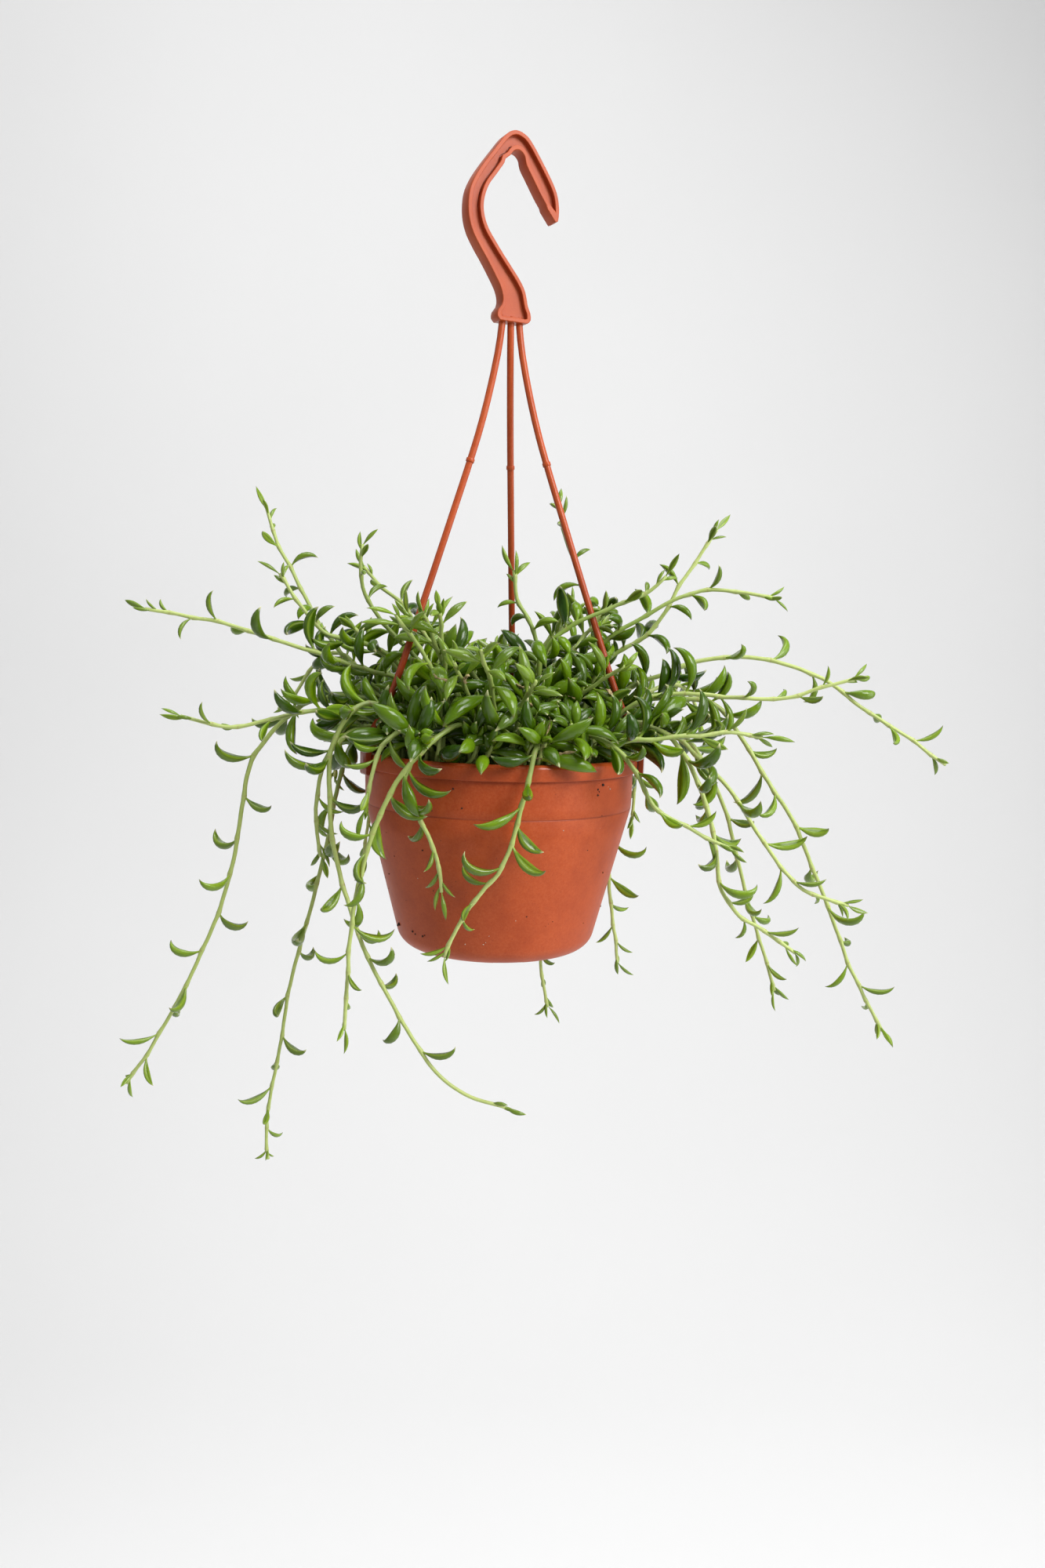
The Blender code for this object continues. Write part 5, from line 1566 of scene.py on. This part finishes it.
class Nodes:
    """Short names for building one material's node tree."""

    def __init__(self, name):
        self.material = bpy.data.materials.new(name)
        self.material.use_nodes = True
        self.tree = self.material.node_tree
        self.shader = self.tree.nodes["Principled BSDF"]

    def new(self, kind, **settings):
        node = self.tree.nodes.new(kind)
        for key, value in settings.items():
            setattr(node, key, value)
        return node

    def put(self, socket, value):
        if hasattr(value, "links"):
            self.tree.links.new(value, socket)
        else:
            socket.default_value = value

    def set(self, **values):
        """Even values on the shader's own sockets."""
        for key, value in values.items():
            self.shader.inputs[key.replace("_", " ")].default_value = value

    def attribute(self, name):
        node = self.new("ShaderNodeAttribute", attribute_type="GEOMETRY", attribute_name=name)
        return node.outputs["Fac"]

    def place(self):
        return self.new("ShaderNodeTexCoord").outputs["Object"]

    def height(self):
        node = self.new("ShaderNodeSeparateXYZ")
        self.put(node.inputs[0], self.place())
        return node.outputs["Z"]

    def noise(self, scale, detail=3.0, rough=0.5):
        node = self.new("ShaderNodeTexNoise")
        self.put(node.inputs["Vector"], self.place())
        node.inputs["Scale"].default_value = scale
        node.inputs["Detail"].default_value = detail
        node.inputs["Roughness"].default_value = rough
        return node.outputs["Fac"]

    def span(self, value, low, high, start=0.0, end=1.0):
        node = self.new("ShaderNodeMapRange", clamp=True)
        self.put(node.inputs["Value"], value)
        node.inputs["From Min"].default_value = low
        node.inputs["From Max"].default_value = high
        node.inputs["To Min"].default_value = start
        node.inputs["To Max"].default_value = end
        return node.outputs["Result"]

    def math(self, operation, one, other=0.0):
        node = self.new("ShaderNodeMath", operation=operation)
        self.put(node.inputs[0], one)
        self.put(node.inputs[1], other)
        return node.outputs[0]

    def times(self, one, other):
        return self.math("MULTIPLY", one, other)

    def mix(self, share, one, other):
        node = self.new("ShaderNodeMix", data_type="RGBA", blend_type="MIX")
        self.put(node.inputs["Factor"], share)
        self.put(node.inputs[6], one)
        self.put(node.inputs[7], other)
        return node.outputs[2]

    def bump(self, height, strength, distance, before=None):
        node = self.new("ShaderNodeBump")
        node.inputs["Strength"].default_value = strength
        node.inputs["Distance"].default_value = distance * MM
        self.put(node.inputs["Height"], height)
        if before is not None:
            self.put(node.inputs["Normal"], before)
        return node.outputs["Normal"]

    def done(self, colour, roughness, normal=None):
        self.put(self.shader.inputs["Base Color"], colour)
        self.put(self.shader.inputs["Roughness"], roughness)
        if normal is not None:
            self.put(self.shader.inputs["Normal"], normal)
        return self.material


def leaf_material():
    n = Nodes("leaf_skin")
    down, upper = n.attribute("along"), n.attribute("upper")
    tint_and_shade, youth = n.attribute("tint_and_shade"), n.attribute("youth")
    colour = n.mix(tint_and_shade, srgb(17, 46, 0), srgb(122, 158, 8))
    patches = n.noise(220.0, 2.0)
    colour = n.mix(n.span(patches, 0.35, 0.7, 0.0, 0.35), colour, srgb(62, 100, 4))
    colour = n.mix(n.span(youth, 0.0, 1.0, 0.0, 0.75), colour, srgb(146, 172, 64))
    colour = n.mix(n.span(upper, -0.1, -0.8, 0.0, 0.3), colour, srgb(50, 84, 6))
    inside = n.times(n.span(down, 0.12, 0.3), n.span(down, 0.97, 0.85))
    line = n.times(n.span(upper, 0.9, 1.0), n.times(inside, 0.55))
    colour = n.mix(line, colour, srgb(24, 52, 0))
    edge = n.times(n.span(upper, 0.3, 0.55), n.span(upper, 0.85, 0.65))
    colour = n.mix(n.times(edge, n.times(inside, 0.4)), colour, srgb(150, 172, 52))
    foot = n.span(down, 0.2, 0.02)
    colour = n.mix(n.times(foot, 0.75), colour, srgb(158, 180, 66))
    point = n.mix(n.span(tint_and_shade, 0.3, 0.45), srgb(222, 218, 166), srgb(112, 98, 70))
    colour = n.mix(n.times(n.span(down, 0.9, 0.99), 0.85), colour, point)
    fine = n.noise(900.0, 2.0)
    colour = n.mix(n.span(fine, 0.3, 0.7, 0.0, 0.12), colour, srgb(40, 70, 0))
    roughness = n.span(n.noise(500.0, 2.0), 0.3, 0.7, 0.14, 0.25)
    normal = n.bump(n.noise(320.0, 2.0), 0.25, 0.25)
    n.set(
        Specular_IOR_Level=0.42, Subsurface_Weight=0.06,
        Subsurface_Radius=(0.5, 1.0, 0.2), Subsurface_Scale=0.0015,
    )
    return n.done(colour, roughness, n.bump(fine, 0.12, 0.06, normal))


def stem_material():
    n = Nodes("stem_skin")
    down, mark = n.attribute("along"), n.attribute("upper")
    tint_and_shade, youth = n.attribute("tint_and_shade"), n.attribute("youth")
    colour = n.mix(tint_and_shade, srgb(110, 138, 40), srgb(186, 200, 118))
    # Darker towards the root: partly older stem, partly painted shade.
    older_and_shaded = n.span(down, 0.34, 0.04)
    colour = n.mix(n.times(older_and_shaded, 0.8), colour, srgb(74, 90, 26))
    colour = n.mix(n.times(youth, 0.5), colour, srgb(192, 206, 128))
    dots = n.times(n.span(mark, 0.75, 1.0), n.span(n.noise(700.0), 0.45, 0.62))
    colour = n.mix(n.times(dots, 0.5), colour, srgb(150, 106, 76))
    streak = n.noise(420.0, 3.0)
    colour = n.mix(n.span(streak, 0.4, 0.75, 0.0, 0.3), colour, srgb(134, 150, 70))
    roughness = n.span(streak, 0.3, 0.7, 0.38, 0.52)
    return n.done(colour, roughness, n.bump(n.noise(600.0, 3.0), 0.3, 0.15))


def dry_material():
    n = Nodes("dry_leaf")
    patches = n.noise(300.0, 4.0)
    colour = n.mix(n.span(patches, 0.35, 0.65), srgb(104, 86, 48), srgb(190, 170, 122))
    return n.done(colour, 0.75, n.bump(n.noise(700.0, 4.0), 0.6, 0.3))


def pot_material():
    n = Nodes("pot_plastic")
    mottle = n.noise(900.0, 4.0, 0.65)
    cloud = n.noise(26.0, 3.0)
    colour = n.mix(n.span(cloud, 0.3, 0.7), srgb(167, 66, 22), srgb(179, 75, 28))
    colour = n.mix(n.span(mottle, 0.35, 0.7, 0.0, 0.5), colour, srgb(190, 94, 54))
    coarse = n.noise(420.0, 3.0, 0.6)
    colour = n.mix(n.span(coarse, 0.45, 0.7, 0.0, 0.3), colour, srgb(158, 58, 20))
    smudge = n.noise(85.0, 4.0, 0.6)
    colour = n.mix(n.span(smudge, 0.45, 0.7, 0.0, 0.4), colour, srgb(150, 56, 18))
    specks = n.noise(1500.0, 1.0)
    colour = n.mix(n.span(specks, 0.7, 0.76, 0.0, 0.6), colour, srgb(112, 38, 20))
    height = n.height()
    # Painted shade in the crease line round the wall, patchy.
    crease = (RIM_Z - CREASE_DEPTH) * MM
    above = n.span(height, crease + 0.0006, crease + 0.0002)
    crease_shade = n.times(n.span(height, crease - 0.0006, crease - 0.0002), above)
    crease_shade = n.times(crease_shade, n.span(cloud, 0.35, 0.6, 0.1, 0.5))
    colour = n.mix(crease_shade, colour, srgb(112, 42, 20))
    polish = n.span(height, (RIM_Z - 3.0) * MM, (RIM_Z - 1.5) * MM, 0.0, 0.24)
    roughness = n.math("SUBTRACT", n.span(mottle, 0.3, 0.7, 0.4, 0.52), polish)
    grain = n.bump(n.noise(1300.0, 3.0), 0.35, 0.08)
    n.set(Specular_IOR_Level=0.32)
    return n.done(colour, roughness, n.bump(n.noise(60.0, 2.0), 0.25, 0.4, grain))


def hanger_material():
    n = Nodes("hanger_plastic")
    mottle = n.noise(700.0, 4.0, 0.6)
    cloud = n.noise(70.0, 2.0)
    colour = n.mix(n.span(cloud, 0.3, 0.7), srgb(170, 70, 31), srgb(181, 80, 38))
    colour = n.mix(n.span(mottle, 0.4, 0.75, 0.0, 0.3), colour, srgb(192, 98, 54))
    # Painted shade on the walls of the panels.
    colour = n.mix(n.times(n.attribute("recess"), 0.5), colour, srgb(128, 42, 16))
    height = n.height()
    # Painted shade: the strands are darker towards the bottom.
    low = n.span(height, -0.17, -0.26, 0.0, 0.75)
    colour = n.mix(low, colour, srgb(128, 46, 20))
    polish = n.times(n.span(height, -0.074, -0.084), 0.2)
    roughness = n.math("SUBTRACT", n.span(mottle, 0.3, 0.7, 0.36, 0.48), polish)
    n.set(Specular_IOR_Level=0.3)
    return n.done(colour, roughness, n.bump(n.noise(1200.0, 3.0), 0.3, 0.06))


def soil_material():
    n = Nodes("potting_soil")
    patches = n.noise(400.0, 5.0, 0.7)
    colour = n.mix(n.span(patches, 0.35, 0.7), srgb(28, 18, 12), srgb(74, 50, 34))
    fine = n.noise(1600.0, 3.0, 0.7)
    normal = n.bump(patches, 0.9, 0.8)
    return n.done(colour, n.span(fine, 0.3, 0.7, 0.8, 1.0), n.bump(fine, 0.6, 0.2, normal))


def grit_material():
    n = Nodes("pale_grit")
    patches = n.noise(900.0, 4.0)
    colour = n.mix(patches, srgb(150, 134, 110), srgb(214, 206, 190))
    return n.done(colour, 0.85, n.bump(patches, 0.5, 0.2))


def stage_material():
    n = Nodes("stage_white")
    shade = n.noise(1.5, 2.0)
    colour = n.mix(n.span(shade, 0.3, 0.7), (0.84, 0.84, 0.84, 1), (0.86, 0.86, 0.86, 1))
    return n.done(colour, 0.9)


def make_stage(surface):
    """A pale floor that curves up into the backdrop."""
    section = [(STAGE_FRONT, FLOOR_Z)]
    for step in range(STAGE_STEPS + 1):
        angle = math.radians(-90 + 90 * step / STAGE_STEPS)
        along_floor = STAGE_BACK - STAGE_BEND + STAGE_BEND * math.cos(angle)
        section.append((along_floor, FLOOR_Z + STAGE_BEND + STAGE_BEND * math.sin(angle)))
    section.append((STAGE_BACK, STAGE_TOP))
    points = [(x, y, z) for y, z in section for x in (-STAGE_HALF, STAGE_HALF)]
    faces = [(2 * i, 2 * i + 1, 2 * i + 3, 2 * i + 2) for i in range(len(section) - 1)]
    mesh = mesh_from("stage", points, faces)
    mesh.shade_smooth()
    mesh.materials.append(surface)
    add_object("stage", mesh)


def make_lights():
    world = bpy.data.worlds.new("studio")
    world.use_nodes = True
    back = world.node_tree.nodes["Background"]
    back.inputs["Color"].default_value = (1.0, 1.0, 1.0, 1.0)
    back.inputs["Strength"].default_value = WORLD_LIGHT
    bpy.context.scene.world = world
    for name, place, target, size, power, spread in LIGHTS:
        data = bpy.data.lights.new(name, "AREA")
        data.shape = "RECTANGLE"
        data.size, data.size_y = size
        data.energy = power
        data.spread = math.radians(spread)
        light = add_object(name, data)
        light.location = place
        way = Vector(target) - Vector(place)
        light.rotation_euler = way.to_track_quat("-Z", "Y").to_euler()


def make_camera():
    data = bpy.data.cameras.new("camera")
    data.lens = CAMERA_LENS
    data.sensor_width = CAMERA_SENSOR
    data.sensor_fit = "AUTO"
    camera = add_object("camera", data)
    camera.matrix_world = (
        Matrix.Translation(CAMERA_PLACE)
        @ Matrix.Rotation(math.radians(CAMERA_PITCH), 4, "X")
        @ Matrix.Rotation(math.radians(CAMERA_ROLL), 4, "Z")
    )
    bpy.context.scene.camera = camera


def short_ways(first, count, rule, draw, roots, space):
    """Names and points of short stems that follow one rule."""
    ways = {}
    for index in range(count):
        name = "short_stem_%d" % (first + index)
        ways[name] = bent_clear(name, rule(index, draw, roots), space, FILLER_CLEARANCE)
        roots.append(ways[name][0])
        space.add_stem(stem_points(ways[name]), name)
    return ways


def make_plant(leaf_skin, stem_skin):
    surfaces = (leaf_skin, stem_skin)
    plan = stem_plan()
    roots = [points[0] for points in plan.values()]
    space = space_round_hanger()
    ways, leaves = {}, {}
    for name, points in plan.items():
        ways[name] = bent_clear(name, points, space)
        space.add_stem(stem_points(ways[name]), name)
    for name, points in ways.items():
        spacing = CROWN_LEAF_SPACING if "crown" in name else LEAF_SPACING
        leaves[name] = leaves_of(name, stem_points(points), spacing, space)
    draw = random.Random(SEED + 5)
    fillers = short_ways(1, FILLERS, filler_points, draw, roots, space)
    for name, points in ways.items():
        leaves[name] += more_leaves(name, stem_points(points), leaves[name], space)
    draw = random.Random(SEED + 6)
    tufts = short_ways(FILLERS + 1, TUFTS, tuft_points, draw, roots, space)
    for name, points in ways.items():
        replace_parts(make_stem(name, points, leaves[name], surfaces), name)
    for short, spacing, first in (
            (fillers, FILLER_LEAF_SPACING, FILLER_FIRST_LEAF),
            (tufts, TUFT_LEAF_SPACING, TUFT_FIRST_LEAF)):
        for name, points in short.items():
            own = leaves_of(name, stem_points(points), spacing, space, first)
            make_stem(name, points, own, surfaces, SHORT_BUD_LOOK)


def main():
    bpy.context.scene.view_settings.view_transform = "Standard"
    make_camera()
    make_lights()
    make_stage(stage_material())
    make_pot(pot_material())
    make_hanger(hanger_material())
    earth, grit = soil_material(), grit_material()
    make_soil(earth, grit)
    make_specks(earth, grit)
    make_plant(leaf_material(), stem_material())
    make_scraps(dry_material())


main()
